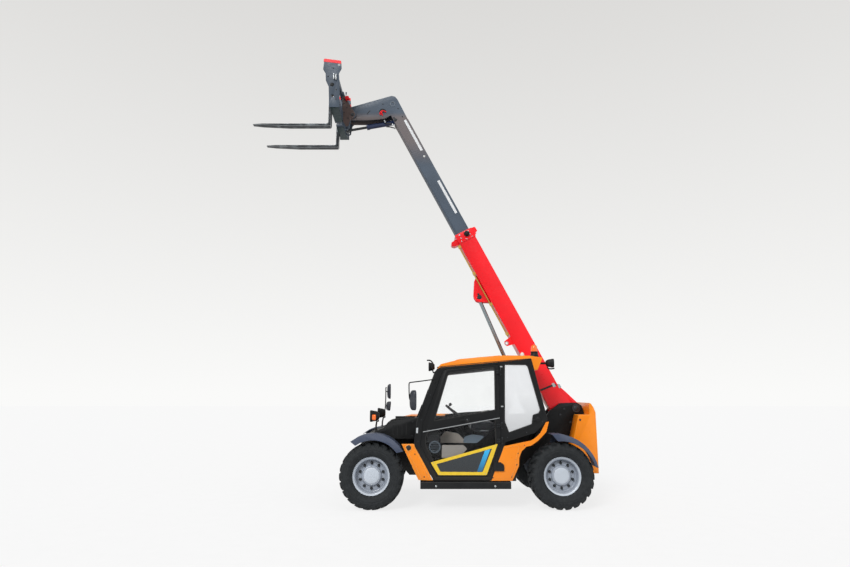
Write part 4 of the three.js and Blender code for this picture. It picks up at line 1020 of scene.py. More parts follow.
piece("door_window_seals", gather(pipe(side_loop(DOOR_UPPER, CAB_FACE + 5), 8, 8, True),
                                  pipe(side_loop(DOOR_LOWER, CAB_FACE + 5), 8, 8, True)), "cab_door",
                                  SEAL_RUBBER, smooth=60)
front_heights = [960, 1101, 1735]
rear_heights = [1180, 1760]
rear_x = [2286 - (z - 1150) * 181 / 760 for z in rear_heights]
piece("cab_window_seals", gather(pipe(side_loop(QUARTER, CAB_FACE + 8), 9, 8, True),
                                 pipe(side_loop(RIGHT_WINDOW, CAB_FAR - 8), 9, 8, True),
                                 pipe(end_loop(front_heights, 4, [float(screen_x(z)) for z in front_heights]),
                                      10, 8, True),
                                 pipe(end_loop(rear_heights, -4, rear_x), 10, 8, True)), "chassis", SEAL_RUBBER,
                                 smooth=60)
piece("door_frame_seal",
      pipe(side_loop([(x + (1150 - x) * 0.004, z + (1100 - z) * 0.004) for x, z in DOORWAY], CAB_FACE + 44), 7,
           8, True), "chassis", SEAL_RUBBER, smooth=60)
print("seals made")

# %% Door furniture
# A thin bright steel strip along the door's waist: a painted highlight on its edge.
rail = cut([(662, 964), (662, 973), (1664, 1150), (1664, 1141)], 2, CAB_FACE - 7, CAB_FACE - 0.4)
piece("door_waist_highlight_strip", rail, "cab_door", BRIGHT_STEEL, bevel=1.5)
latch_at = (1233, CAB_FACE, 1124)
latch = turned([(0, -17), (10, -17), (12, -15), (12, -13), (26, -13), (31, -16), (36, -15), (39, -10), (40, 0)],
               latch_at, segments=36)
lever = cut([(1236, 1112), (1236, 1136), (1148, 1124), (1148, 1106)], 8, CAB_FACE - 26, CAB_FACE - 14)
piece("door_latch", gather(latch, lever), "cab_door", BLACK_PLASTIC, bevel=1.2, smooth=35)
lock = turned([(0, -19), (8, -19), (9.5, -17.5), (9.5, -12)], latch_at, segments=24)
piece("door_lock_barrel", lock, "cab_door", BRIGHT_STEEL, smooth=35)
hinge_z = (1740, 1050, 860)
domes = [turned([(0, h * 17), (5, h * 16), (9, h * 12), (11.5, h * 5), (11.5, 0)],
                (1690, CAB_FACE - 10.4, z + h * 29), "z", 20)
         for z in hinge_z for h in (-1, 1)]
domes = [d if k % 2 else flip_out(d) for k, d in enumerate(domes)]
hinge_bolts = bolts([(x, CAB_FACE - 16.4, z + dz) for z in hinge_z for x in (1632, 1652) for dz in (-13, 13)],
                    (0, -1, 0), 11)
piece("door_hinge_caps", gather(*domes), "cab_door", PIN_STEEL, smooth=35)
piece("door_hinge_bolts", hinge_bolts, "cab_door", PIN_STEEL, smooth=30)
strike = cut([(1566, 484), (1566, 592), (1660, 592), (1704, 560), (1704, 484)], 10, CAB_FACE - 22,
             CAB_FACE - 0.3)
piece("door_stop_block", strike, "chassis", BLACK_PLASTIC, bevel=4)
# Two bright steel plates on the pillar: painted highlights.
pillar_marks = gather(*[cut(rect(1684, 1716, z - 8, z + 8), 4, CAB_FACE - 2.5, CAB_FACE - 0.2)
                        for z in (1808, 1292)])
piece("pillar_highlight_plates", pillar_marks, "chassis", BRIGHT_STEEL, bevel=0.6)
marker = cut([(574, 952), (576, 1022), (601, 1022), (599, 952)], 9, CAB_FACE - 8, CAB_FACE - 0.3)
piece("pillar_side_marker", marker, "chassis", CLEAR_LENS, bevel=2.5)
print("door furniture made")

# %% Door panel
PANEL_OUTER = [(762, 588), (1632, 820), (1480, 432), (862, 432)]
PANEL_INNER = [(838, 568), (1556, 762), (1428, 470), (888, 474)]
PANEL_STRIPE = [(1462, 734), (1532, 753), (1420, 473), (1356, 474)]
piece("door_panel_band", cut(PANEL_OUTER, 14, CAB_FACE - 4, CAB_FACE - 0.5), "cab_door", YELLOW_FILM, bevel=0.8)
piece("door_panel_field", cut(PANEL_INNER, 10, CAB_FACE - 5, CAB_FACE - 3.8), "cab_door", DARK_FILM)
piece("door_panel_stripe", cut(PANEL_STRIPE, 4, CAB_FACE - 5.8, CAB_FACE - 4.8), "cab_door", BLUE_FILM)
piece("door_panel_screws", side_bolts(CAB_FACE - 4, ((800, 583), (1590, 795), (1466, 450), (878, 450)), -1, 9),
      "cab_door", BRIGHT_STEEL, smooth=30)
print("door panel made")

# %% Wipers, corner latch, roof lining
SCREEN_OUT = (-0.935, 0.354)


def on_screen(y, z, off):
    """A point off mm in front of the windscreen's outer frame, square to its slope."""
    return np.array([screen_x(z) + off * SCREEN_OUT[0], y, z + off * SCREEN_OUT[1]])


wiper_arm = bent_pipe([on_screen(-505, 1000, 4), on_screen(-500, 1012, 20), on_screen(-470, 1120, 16),
                       on_screen(-420, 1300, 12)], 6, 6.5, 8)
wiper_blade = pipe([on_screen(-420 + k * 70, 1300 + k * 210, 6) for k in np.linspace(-1, 1, 12)], 5, 6)
wiper_boss = turned([(0, 0), (14, 2), (19, 8), (20, 16)], (screen_x(1000) - 22, -505, 1000), "x", 24)
piece("windscreen_wiper", gather(wiper_arm, wiper_blade, wiper_boss), "chassis", BLACK_PLASTIC, smooth=50)
corner_latch = turned([(0, -20), (16, -20), (19, -17), (20, -9), (30, -8), (33, -5), (33, 0)],
                      (2160, CAB_FACE, 1128), segments=32)
corner_lever = cut([(2100, 1112), (2100, 1130), (2158, 1140), (2158, 1118)], 6, CAB_FACE - 18, CAB_FACE - 9)
piece("quarter_window_latch", gather(corner_latch, corner_lever), "chassis", BLACK_PLASTIC, bevel=1, smooth=35)
cab_screws = side_bolts(CAB_FACE - 0.2,
                        ((600, 850), (640, 1120), (760, 1440), (2220, 1100), (2010, 960), (1760, 900),
                         (2130, 1840)), -1, 12)
piece("cab_frame_screws", cab_screws, "chassis", PIN_STEEL, smooth=30)
gutter = bent_pipe([(862, CAB_FACE - 4, 1793), (905, CAB_FACE - 4, 1808), (1500, CAB_FACE - 4, 1864),
                    (2098, CAB_FACE - 4, 1914)], 6, 5, 8)
piece("roof_rain_gutter", gutter, "chassis", SEAL_RUBBER, smooth=60)
print("wiper, latch and gutter made")

# %% [markdown]
# ## Inside the cab
#
# Behind the glass are the things a driver touches: a wheel with a padded rim and a spinner, a hood
# over the instruments, a vent, pedals, and a console on the right with its switches and its lever.
# They are seen through the panes, so their outlines matter more than their faces.

# %% Wheel, vent, console and pedals
COLUMN_TILT = math.radians(40)
WHEEL_CENTRE = np.array([1120.0, -490.0, 1180.0])


def wheel_plane(a, b, c):
    """A point a along the wheel's slope, b across it and c out of its face."""
    a, b, c = np.broadcast_arrays(*(np.asarray(k, float) for k in (a, b, c)))
    return WHEEL_CENTRE + np.stack([a * math.cos(COLUMN_TILT) + c * math.sin(COLUMN_TILT), b,
                                    -a * math.sin(COLUMN_TILT) + c * math.cos(COLUMN_TILT)], -1)


round_angle = np.linspace(0, 2 * np.pi, 64, endpoint=False)
grip = pipe(wheel_plane(175 * np.cos(round_angle), 175 * np.sin(round_angle), 0), 16.5, 16, True)
hub_pad = [wheel_plane(r * np.cos(round_angle), r * np.sin(round_angle), h)
           for r, h in ((1, 26), (24, 25), (38, 20), (44, 12), (46, 0))]
hub_pad = (np.concatenate(hub_pad), grid_faces(5, 64, wrap_columns=True)[:, ::-1])
spokes = [pipe([wheel_plane(30 * c, 30 * s, 8), wheel_plane(100 * c, 100 * s, 3),
                wheel_plane(170 * c, 170 * s, 0)], [17, 14, 12], 12)
          for c, s in ((1, 0), (-1, 0), (0, 1))]
spinner = pipe([wheel_plane(-150, -88, h) for h in (12, 26, 30, 52, 62, 66)], [8, 8, 17, 21, 18, 6], 16)
piece("steering_wheel_grip", gather(grip, hub_pad, *spokes, spinner), "chassis", BLACK_PLASTIC, smooth=60)
cluster = cut([(770, 1004), (782, 1075), (850, 1092), (900, 1050), (880, 1000)], 16, -600, -380)
piece("instrument_hood", cluster, "chassis", BLACK_PLASTIC, bevel=8, segments=3)
dial = [turned([(0, 0), (30, 0), (34, 3), (36, 8)], (884, y, 1058), "x", 28) for y in (-535, -450)]
piece("instrument_dials", gather(*dial), "chassis", BRIGHT_STEEL, smooth=35)
vent_ring = turned([(58, -832), (59, -840), (66, -845), (76, -843), (80, -837), (80, -831)], (818, 0, 775),
                   segments=48)
vent_fins = gather(*[block(818 - w, 818 + w, -840, -832, 775 + k * 22 - 3, 775 + k * 22 + 3)
                     for k, w in ((-2, 38), (-1, 53), (0, 58), (1, 53), (2, 38))])
piece("cab_air_vent", gather(vent_ring, vent_fins), "chassis", VENT_PLASTIC, smooth=35)
sill_trim = cut([(905, 640), (912, 800), (1190, 800), (1240, 752), (1120, 640)], 14, -836, -830.4)
piece("sill_trim_panel", sill_trim, "chassis", SILL_PLASTIC, bevel=1.5)
# A blue-grey panel behind the lower door pane: a painted bluish reflection on the glass.
reflection_panel = cut([(1196, 812), (1216, 892), (1320, 922), (1470, 902), (1500, 842), (1400, 806)], 24, -646, -640.3)
piece("seat_side_painted_reflection", reflection_panel, "chassis", BLUE_REFLECTION_PLASTIC, bevel=2)
# The console uses the lightened trim: painted light inside the shaded cab.
console = cut([(905, 470), (905, 900), (985, 935), (1160, 905), (1262, 800), (1640, 790), (1700, 820),
               (1720, 560), (1500, 470)], 26,
                -322, -172)
piece("right_hand_console", console, "chassis", LIGHTENED_PANEL_PLASTIC, bevel=14, segments=3)
console_lid = cut(rect(1300, 1600, 796, 812), 6, -306, -190)
piece("console_switch_panel", console_lid, "chassis", BLACK_PLASTIC, bevel=3)
buttons = gather(*[cut(rect(1330 + k * 34, 1352 + k * 34, 812, 818), 2, -290, -260) for k in range(6)])
piece("console_switches", buttons, "chassis", PALE_PLASTIC, bevel=1.5)
boot = turned([(44, 0), (40, 10), (33, 14), (35, 22), (27, 27), (29, 34), (20, 40), (22, 48), (12, 56)],
              (1250, -240, 800), "z", 28)
stick = bent_pipe([(1250, -240, 850), (1244, -240, 910), (1236, -240, 940), (1232, -242, 985),
                   (1240, -244, 1020), (1236, -244, 1040)], 5,
             np.interp(np.linspace(0, 1, 26), [0, 0.3, 0.4, 0.6, 0.85, 0.95, 1], [9, 9, 21, 25, 24, 16, 3]), 16)
piece("control_lever", gather(flip_out(boot), stick), "chassis", BLACK_PLASTIC, smooth=60)
pedal = [cut([(905, 452), (1000, 425), (1004, 436), (909, 464)], 3, y, y + 70) for y in (-700, -420)]
stalks = [pipe([(870, y + 35, 520), (935, y + 35, 452)], 8, 8) for y in (-700, -420)]
piece("pedals", gather(*pedal, *stalks), "chassis", HOSE_RUBBER, bevel=2)
trim = cut([(975, 1060), (975, 1168), (1250, 1196), (1700, 1222), (1780, 1222), (1780, 1060)], 16, CAB_FAR - 46,
           CAB_FAR - 34)
piece("right_sill_trim", trim, "chassis", BLACK_PLASTIC, bevel=3)
pod = cut([(1500, 1166), (1494, 1214), (1612, 1230), (1624, 1180)], 8, CAB_FAR - 70, CAB_FAR - 46)
piece("side_display", pod, "chassis", PALE_PLASTIC, bevel=3)
# The wall lining uses the lightened trim: painted light inside the shaded cab.
lining = cut([(800, 560), (800, 884), (949, 915), (1235, 753), (1235, 560)], 24, -336, -324)
piece("front_wall_lining", lining, "chassis", LIGHTENED_PANEL_PLASTIC, bevel=4)
mat = block(800, 1320, CAB_FACE + 60, -180, 411.5, 417)
piece("cab_floor_mat", mat, "chassis", HOSE_RUBBER, bevel=2)
print("cab interior made")

# %% [markdown]
# ## Lamps, mirrors and the beacon
#
# A work lamp is a pressed steel bowl with a rim round a ribbed lens, held in a U bracket. A mirror
# is a moulded housing that bellies out behind its glass. Both are a rounded rectangle carried along
# a short axis while its width, height and roundness change, so one function makes them.

# %% Lofted housings
RING = 40


def housing(sections, centre, forward):
    """Rounded rectangles at each (offset, half width, half height, power) along a level direction."""
    f = np.asarray(forward, float) / np.linalg.norm(forward)
    side = np.cross([0, 0, 1.0], f)
    side /= np.linalg.norm(side)
    up = np.cross(f, side)
    angle = np.linspace(0, 2 * np.pi, RING, endpoint=False)
    rings = []
    for offset, half_w, half_h, power in sections:
        c = np.sign(np.cos(angle)) * np.abs(np.cos(angle)) ** (2 / power)
        s = np.sign(np.sin(angle)) * np.abs(np.sin(angle)) ** (2 / power)
        rings.append(np.asarray(centre) + offset * f + half_w * c[:, None] * side + half_h * s[:, None] * up)
    p = np.concatenate(rings)
    faces = grid_faces(len(sections), RING, wrap_columns=True)[:, ::-1].tolist()
    faces += [list(range(RING))[::-1], list(range(len(p) - RING, len(p)))]
    return p, faces


def lamp_set(name, centre, forward, half_w, half_h, depth, lens, body="chassis", replaces=()):
    """A bowl with a rolled rim, closed behind the lens, and a domed, ribbed lens in front."""
    w, h, d = half_w, half_h, depth
    bowl = [(-d, 0.45 * w, 0.45 * h, 2.6), (-d * 0.97, 0.6 * w, 0.6 * h, 2.8),
            (-d * 0.7, 0.85 * w, 0.85 * h, 3.2), (-d * 0.25, 0.95 * w, 0.95 * h, 3.8), (-d * 0.2, w, h, 4),
            (0, w, h, 4), (2, w - 2, h - 2, 4), (0, w - 7, h - 7, 4), (-6, w - 8, h - 8, 4)]
    glass = [(-4, w - 7, h - 7, 4), (0, w - 9, h - 9, 4), (4, w * 0.7, h * 0.7, 3.2),
             (6, w * 0.35, h * 0.35, 2.6), (6.5, 2, 2, 2)]
    piece(name, housing(bowl, centre, forward), body, BLACK_PLASTIC, replaces, smooth=38)
    piece(f"{name}_lens", housing(glass, centre, forward), body, lens, smooth=50)


front_work = (742, -752, 1812)
lamp_set("front_work_lamp_bowl", front_work, (-1, 0.05, -0.0), 62, 58, 78, CLEAR_LENS,
         replaces="front_work_lamp")
bracket = gather(*[bent_pipe([(778, -752 + s * 66, 1812), (792, -752 + s * 66, 1770),
                              (806, -752 + s * 40, 1732), (836, -752, 1752)], 5, 7, 8) for s in BOTH],
                 pipe([(778, -690, 1812), (778, -682, 1812)], 12, 12),
                 pipe([(778, -822, 1812), (778, -814, 1812)], 12, 12),
                 bent_pipe([(816, -755, 1788), (800, -760, 1850), (764, -764, 1894), (716, -770, 1898)], 5, 9,
                           10))
piece("front_work_lamp_bracket", bracket, "chassis", BLACK_PLASTIC, smooth=50)
lamp_set("rear_work_lamp_bowl", (2424, -730, 1862), (1, 0, 0), 68, 58, 96, CLEAR_LENS,
         replaces="rear_work_lamp")
bracket = gather(cut([(2222, 1846), (2222, 1868), (2340, 1876), (2346, 1846)], 5, -745, -715),
                 bent_pipe([(2345, -730, 1812), (2360, -730, 1790), (2400, -730, 1786), (2440, -730, 1792)], 5,
                           9, 8),
                 pipe([(2380, -806, 1862), (2380, -798, 1862)], 12, 12))
piece("rear_work_lamp_bracket", bracket, "chassis", BLACK_PLASTIC, bevel=1.5, smooth=45)
print("work lamps made")

# %% Head lamps
for hand, s in (("left", -1), ("right", 1)):
    node = "left_headlamp" if hand == "left" else "right_lamp_and_mirror"
    lamp_set(f"{hand}_headlamp_bowl", (-46, 622 * s, 1160), (-1, 0, 0), 66, 76, 118, CLEAR_LENS, replaces=node)
    lamp_set(f"{hand}_turn_lamp", (8, 700 * s, 1146), (-0.35, s, 0), 36, 44, 34, AMBER)
    legs = gather(bent_pipe([(28, 575 * s, 968), (28, 575 * s, 1020), (34, 600 * s, 1060), (40, 612 * s, 1092)],
                            5, 11, 12),
                  bent_pipe([(54, 612 * s, 1090), (66, 650 * s, 1100), (40, 690 * s, 1118)], 5, 8, 10),
                  turned([(0, 972), (24, 972), (26, 968), (26, 962)], (28, 575 * s, 0), "z", 24))
    piece(f"{hand}_headlamp_stand", legs, "chassis", BLACK_PLASTIC, smooth=45)
print("head lamps made")

# %% Mirrors
def mirror_set(name, centre, facing, half_w, half_h, depth, replaces=()):
    """A housing that bellies away from the driver, a raised rim of the same plastic, and a silvered glass set
    into it.
    """
    back = [(-depth, 0.5 * half_w, 0.55 * half_h, 2.6), (-depth * 0.85, 0.75 * half_w, 0.8 * half_h, 3),
            (-depth * 0.45, 0.95 * half_w, 0.96 * half_h, 4), (-depth * 0.1, half_w, half_h, 5),
            (0, half_w, half_h, 5), (1, half_w - 3, half_h - 3, 5), (-3, half_w - 6, half_h - 6, 5)]
    face = [(-3.5, half_w - 6, half_h - 6, 5), (-1.5, half_w - 7, half_h - 7, 5), (-1.2, 4, 4, 3)]
    piece(name, housing(back, centre, facing), "chassis", NAVY_PLASTIC,
          replaces, smooth=38)
    piece(f"{name}_glass", housing(face, centre, facing), "chassis", MIRROR, smooth=50)


NAVY_PLASTIC = grained_plastic("blue_black_moulded_housing", "#161C28", 0.4, dusty=0.1, gloss_level=0.4)
mirror_set("left_mirror_housing", (548, -985, 1373), (0.86, 0.5, 0), 66, 128, 46, "left_mirror")
arm = smooth_path([(497, -966, 1372), (486, -972, 1420), (482, -975, 1560), (486, -974, 1590),
                   (506, -966, 1600), (660, -934, 1620), (812, -890, 1642)], 6)
piece("left_mirror_arm", gather(pipe(arm, 7.5, 10), pipe([(812, -896, 1610), (812, -880.4, 1610)], 11, 12),
                               cut(rect(796, 828, 1596, 1662), 6, CAB_FACE - 9, CAB_FACE - 0.4)),
      "chassis", BLACK_PLASTIC, smooth=45)
mirror_set("right_upper_mirror_housing", (118, 976, 1493), (0.97, 0.24, 0), 70, 120, 44)
mirror_set("right_lower_mirror_housing", (112, 972, 1258), (0.94, 0.34, -0.1), 70, 74, 50)
post = smooth_path([(34, 640, 1070), (38, 700, 1110), (44, 800, 1170), (50, 886, 1250), (54, 900, 1400),
                    (54, 902, 1540), (60, 908, 1556)], 6)
branches = [bent_pipe([(52, 896, z), (66, 920, z), (88, 950, z)], 4, 7, 8) for z in (1262, 1490)]
piece("right_mirror_post", gather(pipe(post, 8.5, 10), *branches), "chassis", BLACK_PLASTIC, smooth=45)
print("mirrors made")

# %% Beacon and roof fittings
beacon_centre = (2200, -600, 0)
piece("beacon_foot",
      flip_out(turned([(0, 1950), (54, 1950), (56, 1954), (56, 1972), (50, 1980), (47, 2010), (51, 2014),
                       (51, 2024), (46, 2028), (0, 2028)],
                                     beacon_centre, "z", 48)), "chassis", BLACK_PLASTIC, smooth=38)
dome = [(0, 2028), (44, 2028), (45, 2034), (45, 2046), (43, 2048), (44, 2052), (43, 2080), (40, 2098),
        (33, 2110), (22, 2118), (10, 2121.5), (0, 2122)]
piece("beacon_dome", flip_out(turned(dome, beacon_centre, "z", 48)), "chassis", AMBER, "beacon",
      smooth=40)
radio = [(0, 1950), (34, 1950), (34, 1956), (29, 1962), (28, 1985), (24, 2005), (15, 2016), (0, 2019)]
piece("roof_radio_dome", flip_out(turned(radio, (2040, -560, 0), "z", 36)), "chassis", PALE_PLASTIC, smooth=40)
hatch = cut(rect(1100, 1720, -800, -200), 60, 0, 14, "z")
lift_z = np.interp(hatch[0][:, 0], [1100, 1149, 1400, 1720], [1891, 1903, 1933, 1953.5])
hatch[0][:, 2] += lift_z - 4
piece("roof_hatch", hatch, "chassis", ORANGE, bevel=5, smooth=35)
# The ribs take the lighter orange edge finish: a painted highlight along their tops.
ribs = [pipe([(x, y, z + 1) for x, z in ((1740, 1955), (1850, 1955), (2060, 1952))], 7, 8)
        for y in (-780, -650, -520, -390, -260)]
piece("roof_stiffening_ribs", gather(*ribs), "chassis", ORANGE_EDGE_HIGHLIGHT, smooth=50)
print("roof fittings made")

# %% [markdown]
# ## Driver's seat
#
# The cushion and the back are foam in a woven cover. Each starts as a rounded block a little smaller
# than its space, is remeshed to small even squares, and is blown up with the cloth solver so that it
# crowns between its edges. The stitched channels are pressed in afterwards.

# %% Foam pieces
CLOTH_FRAMES = 20
SEAM_Y, SEAM_WIDTH = [-0.60, -0.49, -0.38], 0.012


def swell(part, name, material, voxel=0.008, cap=0.024, pressure=4.0):
    """Remesh, blow up with the cloth solver without gravity, and cap each point's way."""
    points, faces = part
    mesh = bpy.data.meshes.new(name)
    mesh.from_pydata(metres(points).tolist(), [], [list(map(int, f)) for f in faces])
    obj = bpy.data.objects.new(name, mesh)
    bpy.context.collection.objects.link(obj)
    mesh.materials.append(material)
    obj.modifiers.new("soft edge", "BEVEL").width = 0.03
    obj.modifiers["soft edge"].segments = 4
    remesh = obj.modifiers.new("even squares", "REMESH")
    remesh.mode, remesh.voxel_size, remesh.use_smooth_shade = "VOXEL", voxel, True
    settle(obj)
    before = np.empty(len(obj.data.vertices) * 3)
    obj.data.vertices.foreach_get("co", before)
    cloth = obj.modifiers.new("cover", "CLOTH")
    cloth.settings.use_pressure, cloth.settings.uniform_pressure_force = True, pressure
    cloth.settings.effector_weights.gravity = 0.0
    cloth.settings.quality, cloth.settings.tension_stiffness = 4, 8.0
    cloth.point_cache.frame_start, cloth.point_cache.frame_end = 1, CLOTH_FRAMES
    for step in range(1, CLOTH_FRAMES + 1):
        bpy.context.scene.frame_set(step)
    settle(obj)
    after = np.empty_like(before)
    obj.data.vertices.foreach_get("co", after)
    way = (after - before).reshape(-1, 3)
    length = np.linalg.norm(way, axis=1, keepdims=True)
    way *= np.minimum(1.0, cap / np.maximum(length, 1e-9))
    obj.data.vertices.foreach_set("co", (before.reshape(-1, 3) + way).ravel())
    bpy.context.scene.frame_set(1)
    obj.data.polygons.foreach_set("use_smooth", np.ones(len(obj.data.polygons), bool))
    return obj


def settle(obj):
    """The mesh as its modifiers leave it becomes the object's own mesh."""
    depsgraph = bpy.context.evaluated_depsgraph_get()
    depsgraph.update()
    mesh = bpy.data.meshes.new_from_object(obj.evaluated_get(depsgraph))
    obj.modifiers.clear()
    obj.data = mesh


def channels(obj, lines, axis, depth, width):
    """Presses stitched channels: points within width of a line sink by a bell of that depth."""
    count = len(obj.data.vertices)
    co = np.empty(count * 3)
    obj.data.vertices.foreach_get("co", co)
    co = co.reshape(-1, 3)
    normal = np.empty(count * 3)
    obj.data.vertices.foreach_get("normal", normal)
    sink = sum(np.exp(-((co[:, axis] - line) / width) ** 2) for line in lines)
    co -= normal.reshape(-1, 3) * np.clip(sink, 0, 1)[:, None] * depth
    obj.data.vertices.foreach_set("co", co.ravel())
    obj.modifiers.new("smooth cover", "SUBSURF").levels = 1
    obj.modifiers["smooth cover"].render_levels = 1


cushion = swell(cut([(1292, 988), (1292, 1062), (1640, 1058), (1640, 990)], 20, -708, -272),
                "seat_cushion_cover", SEAT_CLOTH)
channels(cushion, SEAM_Y, 1, 0.007, SEAM_WIDTH)
back = swell(cut([(1668, 992), (1728, 992), (1918, 1610), (1866, 1640)], 20, -698, -282), "seat_back_cover",
             SEAT_CLOTH)
channels(back, SEAM_Y, 1, 0.007, SEAM_WIDTH)
headrest = swell(cut([(1846, 1652), (1896, 1646), (1930, 1770), (1876, 1782)], 16, -610, -370),
                 "headrest_cover", SEAT_CLOTH)
channels(headrest, SEAM_Y[1:2], 1, 0.003, SEAM_WIDTH)
for obj, node in ((cushion, "seat_cushion"), (back, "seat_back"), (headrest, None)):
    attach(obj, "chassis")
    if node:
        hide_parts(node)
stays = gather(*[pipe([(1872, y, 1600), (1884, y, 1665)], 7, 10) for y in (-530, -450)])
piece("headrest_stays", stays, "chassis", BRIGHT_STEEL, smooth=60)
slides = gather(*[cut(rect(1350, 1640, 966, 974), 2, y, y + 26) for y in (-660, -346)])
piece("seat_slides", slides, "chassis", BRIGHT_STEEL, bevel=1)
belt = pipe([(1700, -735, 1000), (1690, -738, 1060), (1684, -738, 1090)], [12, 14, 9], 8)
buckle = cut([(1668, 1086), (1668, 1130), (1700, 1132), (1702, 1088)], 6, -750, -728)
piece("seat_belt_buckle", gather(belt, buckle), "chassis", BLACK_PLASTIC, bevel=2, smooth=50)
print("seat made")

# %% [markdown]
# ## Carriage and forks
#
# The carriage is a quick hitch: its side plates end in red caps, an oil line for tools ends in plated
# couplers, and a brown primed bracket on each ear holds the hitch pin with its red safety cap. A fork
# hangs on the round shaft and is kept from sliding by collars, and its tip is ground to a chisel.

# %% Carriage fittings
HEAD_U, HEAD_V = 5620, -850
PIVOT_AT = on_boom(HEAD_U, HEAD_V, 0)


def on_carriage(points):
    """Side points measured from the carriage's pivot, as machine X and Z."""
    return [(x + PIVOT_AT[0], z + PIVOT_AT[2]) for x, z in points]


def from_pivot(x, y, z):
    """A machine point measured in side view from the carriage's pivot."""
    return (PIVOT_AT[0] + x, y, PIVOT_AT[2] + z)


SIDE_L, SIDE_R, EAR_SIDE = BOOM_Y - 572, BOOM_Y + 572, 118
SHAFT_X, SHAFT_Z = PIVOT_AT[0] - 262, PIVOT_AT[2] + 262
red_caps = gather(*[cut(on_carriage([(-405, 650), (-404, 690), (-384, 700), (-134, 665), (-130, 612)]), 8,
                        *sorted((y - 3 * s, y + 19 * s)))
                    for y, s in ((SIDE_L, 1), (SIDE_R, -1))])
piece("carriage_red_caps", red_caps, "carriage", RED, bevel=2.5)
shaft_ends = cap_pair([(0, 7), (24, 7), (30, 4), (32, 0)], (SHAFT_X, SIDE_L, SHAFT_Z),
                      (SHAFT_X, SIDE_R, SHAFT_Z))
piece("carriage_shaft_ends", shaft_ends, "carriage", BLACK_PLASTIC, smooth=35)
couplers, clips = [], []
for y, s in ((SIDE_L, -1), (SIDE_R, 1)):
    for k in (0, 1):
        x, z = PIVOT_AT[0] - 238 + 34 * k, PIVOT_AT[2] + 436 - 8 * k
        couplers.append(pipe([(x, y + 15 * s, z - t) for t in (0, 4, 16, 20, 44, 48, 70, 96)],
                             [9, 13, 13, 9, 9, 14, 14, 8], 12))
    clips += [cut(on_carriage(rect(-178 + k * 20, -168 + k * 20, 575, 612)), 3,
                    *sorted((y, y + 3 * s))) for k in (0, 1)]
piece("tool_line_couplers", gather(*couplers), "carriage", BRIGHT_STEEL, smooth=40)
piece("carriage_clips", gather(*clips), "carriage", PALE_PLASTIC, bevel=0.5)
EAR_FACE = [(-168, 330), (-125, 312), (-62, 196), (22, 52), (46, 10), (26, -42), (-40, -108), (-58, -196),
            (-100, -205), (-160, -92)]
ears = [cut(on_carriage(EAR_FACE), 10, *sorted((BOOM_Y + 114.3 * s, BOOM_Y + EAR_SIDE * s))) for s in BOTH]
piece("hitch_ear_plates", gather(*ears), "carriage", UMBER, bevel=1.2)
safety = [cut(on_carriage([(-128, 296), (-66, 308), (-46, 250), (-112, 236)]), 14,
              *sorted((BOOM_Y + EAR_SIDE * s, BOOM_Y + 168 * s))) for s in BOTH]
piece("hitch_safety_caps", gather(*safety), "carriage", RED, bevel=9, segments=3)
knobs = [pipe([(PIVOT_AT[0] - 108, BOOM_Y + 140 * s, PIVOT_AT[2] + z) for z in (300, 340, 344, 372, 380)],
              [5, 5, 10, 11, 6], 14) for s in BOTH]
piece("hitch_pin_knobs", gather(*knobs), "carriage", NAVY, smooth=45)
hitch_bolts = gather(*[bolts([from_pivot(x, BOOM_Y + EAR_SIDE * s, z)
                              for x, z in ((-140, 200), (-90, 120), (-135, 40), (-70, -60))], (0, s, 0), 18)
                       for s in BOTH],
                     *[bolts([from_pivot(x, y, z)
                              for x, z in ((-200, 20), (-200, 180), (-330, 400), (-250, 540))], (0, s, 0), 18)
                       for y, s in ((SIDE_L, -1), (SIDE_R, 1))])
piece("carriage_bolts", hitch_bolts, "carriage", PIN_STEEL, smooth=30)
pivot_ends = boom_caps([(0, 13), (16, 13), (24, 10), (27, 4), (27.5, 0)], HEAD_U, HEAD_V, EAR_SIDE)
piece("carriage_pivot_ends", pivot_ends, "carriage", PIN_STEEL, smooth=35)
collars = gather(*[pipe([(SHAFT_X, BOOM_Y + y, SHAFT_Z), (SHAFT_X, BOOM_Y + y + 16, SHAFT_Z)], 37, 28)
                   for y in (-455, -331, 315, 439)])
piece("fork_collars", collars, "carriage", BRIGHT_STEEL, bevel=1.5)
seams = gather(*[pipe([(PIVOT_AT[0] - 170, y, PIVOT_AT[2] + z) for z in np.linspace(-105, 395, 18)], 3.5, 6)
                 for y in (BOOM_Y - 115.5, BOOM_Y + 115.5)],
               *[pipe([(PIVOT_AT[0] + x, y, PIVOT_AT[2] + 329) for x in np.linspace(-211, -169, 6)], 3.5, 6)
                 for y in (SIDE_L + 18, SIDE_R - 18)])
piece("carriage_weld_seams", seams, "carriage", SLATE, smooth=80)
# Thin dark teal plates under the carriage's cross beams: painted shade on their undersides.
underside_shade = gather(*[block(PIVOT_AT[0] - 283, PIVOT_AT[0] - 151, *sorted((BOOM_Y + 560 * s, BOOM_Y + 90 * s)),
                        PIVOT_AT[2] - 116, PIVOT_AT[2] - 110.3) for s in BOTH])
piece("carriage_underside_painted_shade", underside_shade, "carriage", TEAL_SHADE, bevel=1.5)
rack = gather(*[pipe([(PIVOT_AT[0] - 190, BOOM_Y + y, PIVOT_AT[2] + z) for z in (398, 420, 424)], [9, 9, 5],
                     12) for y in (-480, -240, 240, 480)])
piece("carriage_stop_pins", rack, "carriage", BRIGHT_STEEL, smooth=40)
print("carriage dressed")

# %% [markdown]
# ## Body panels
#
# The hoods are thin moulded covers, so they carry pressed ribs, louvres for the cooler, latches and
# screws. The right side is one long orange hood over the engine: slats in a black frame let the air
# in, a mesh lets it out at the rear, and the exhaust stands on its top.

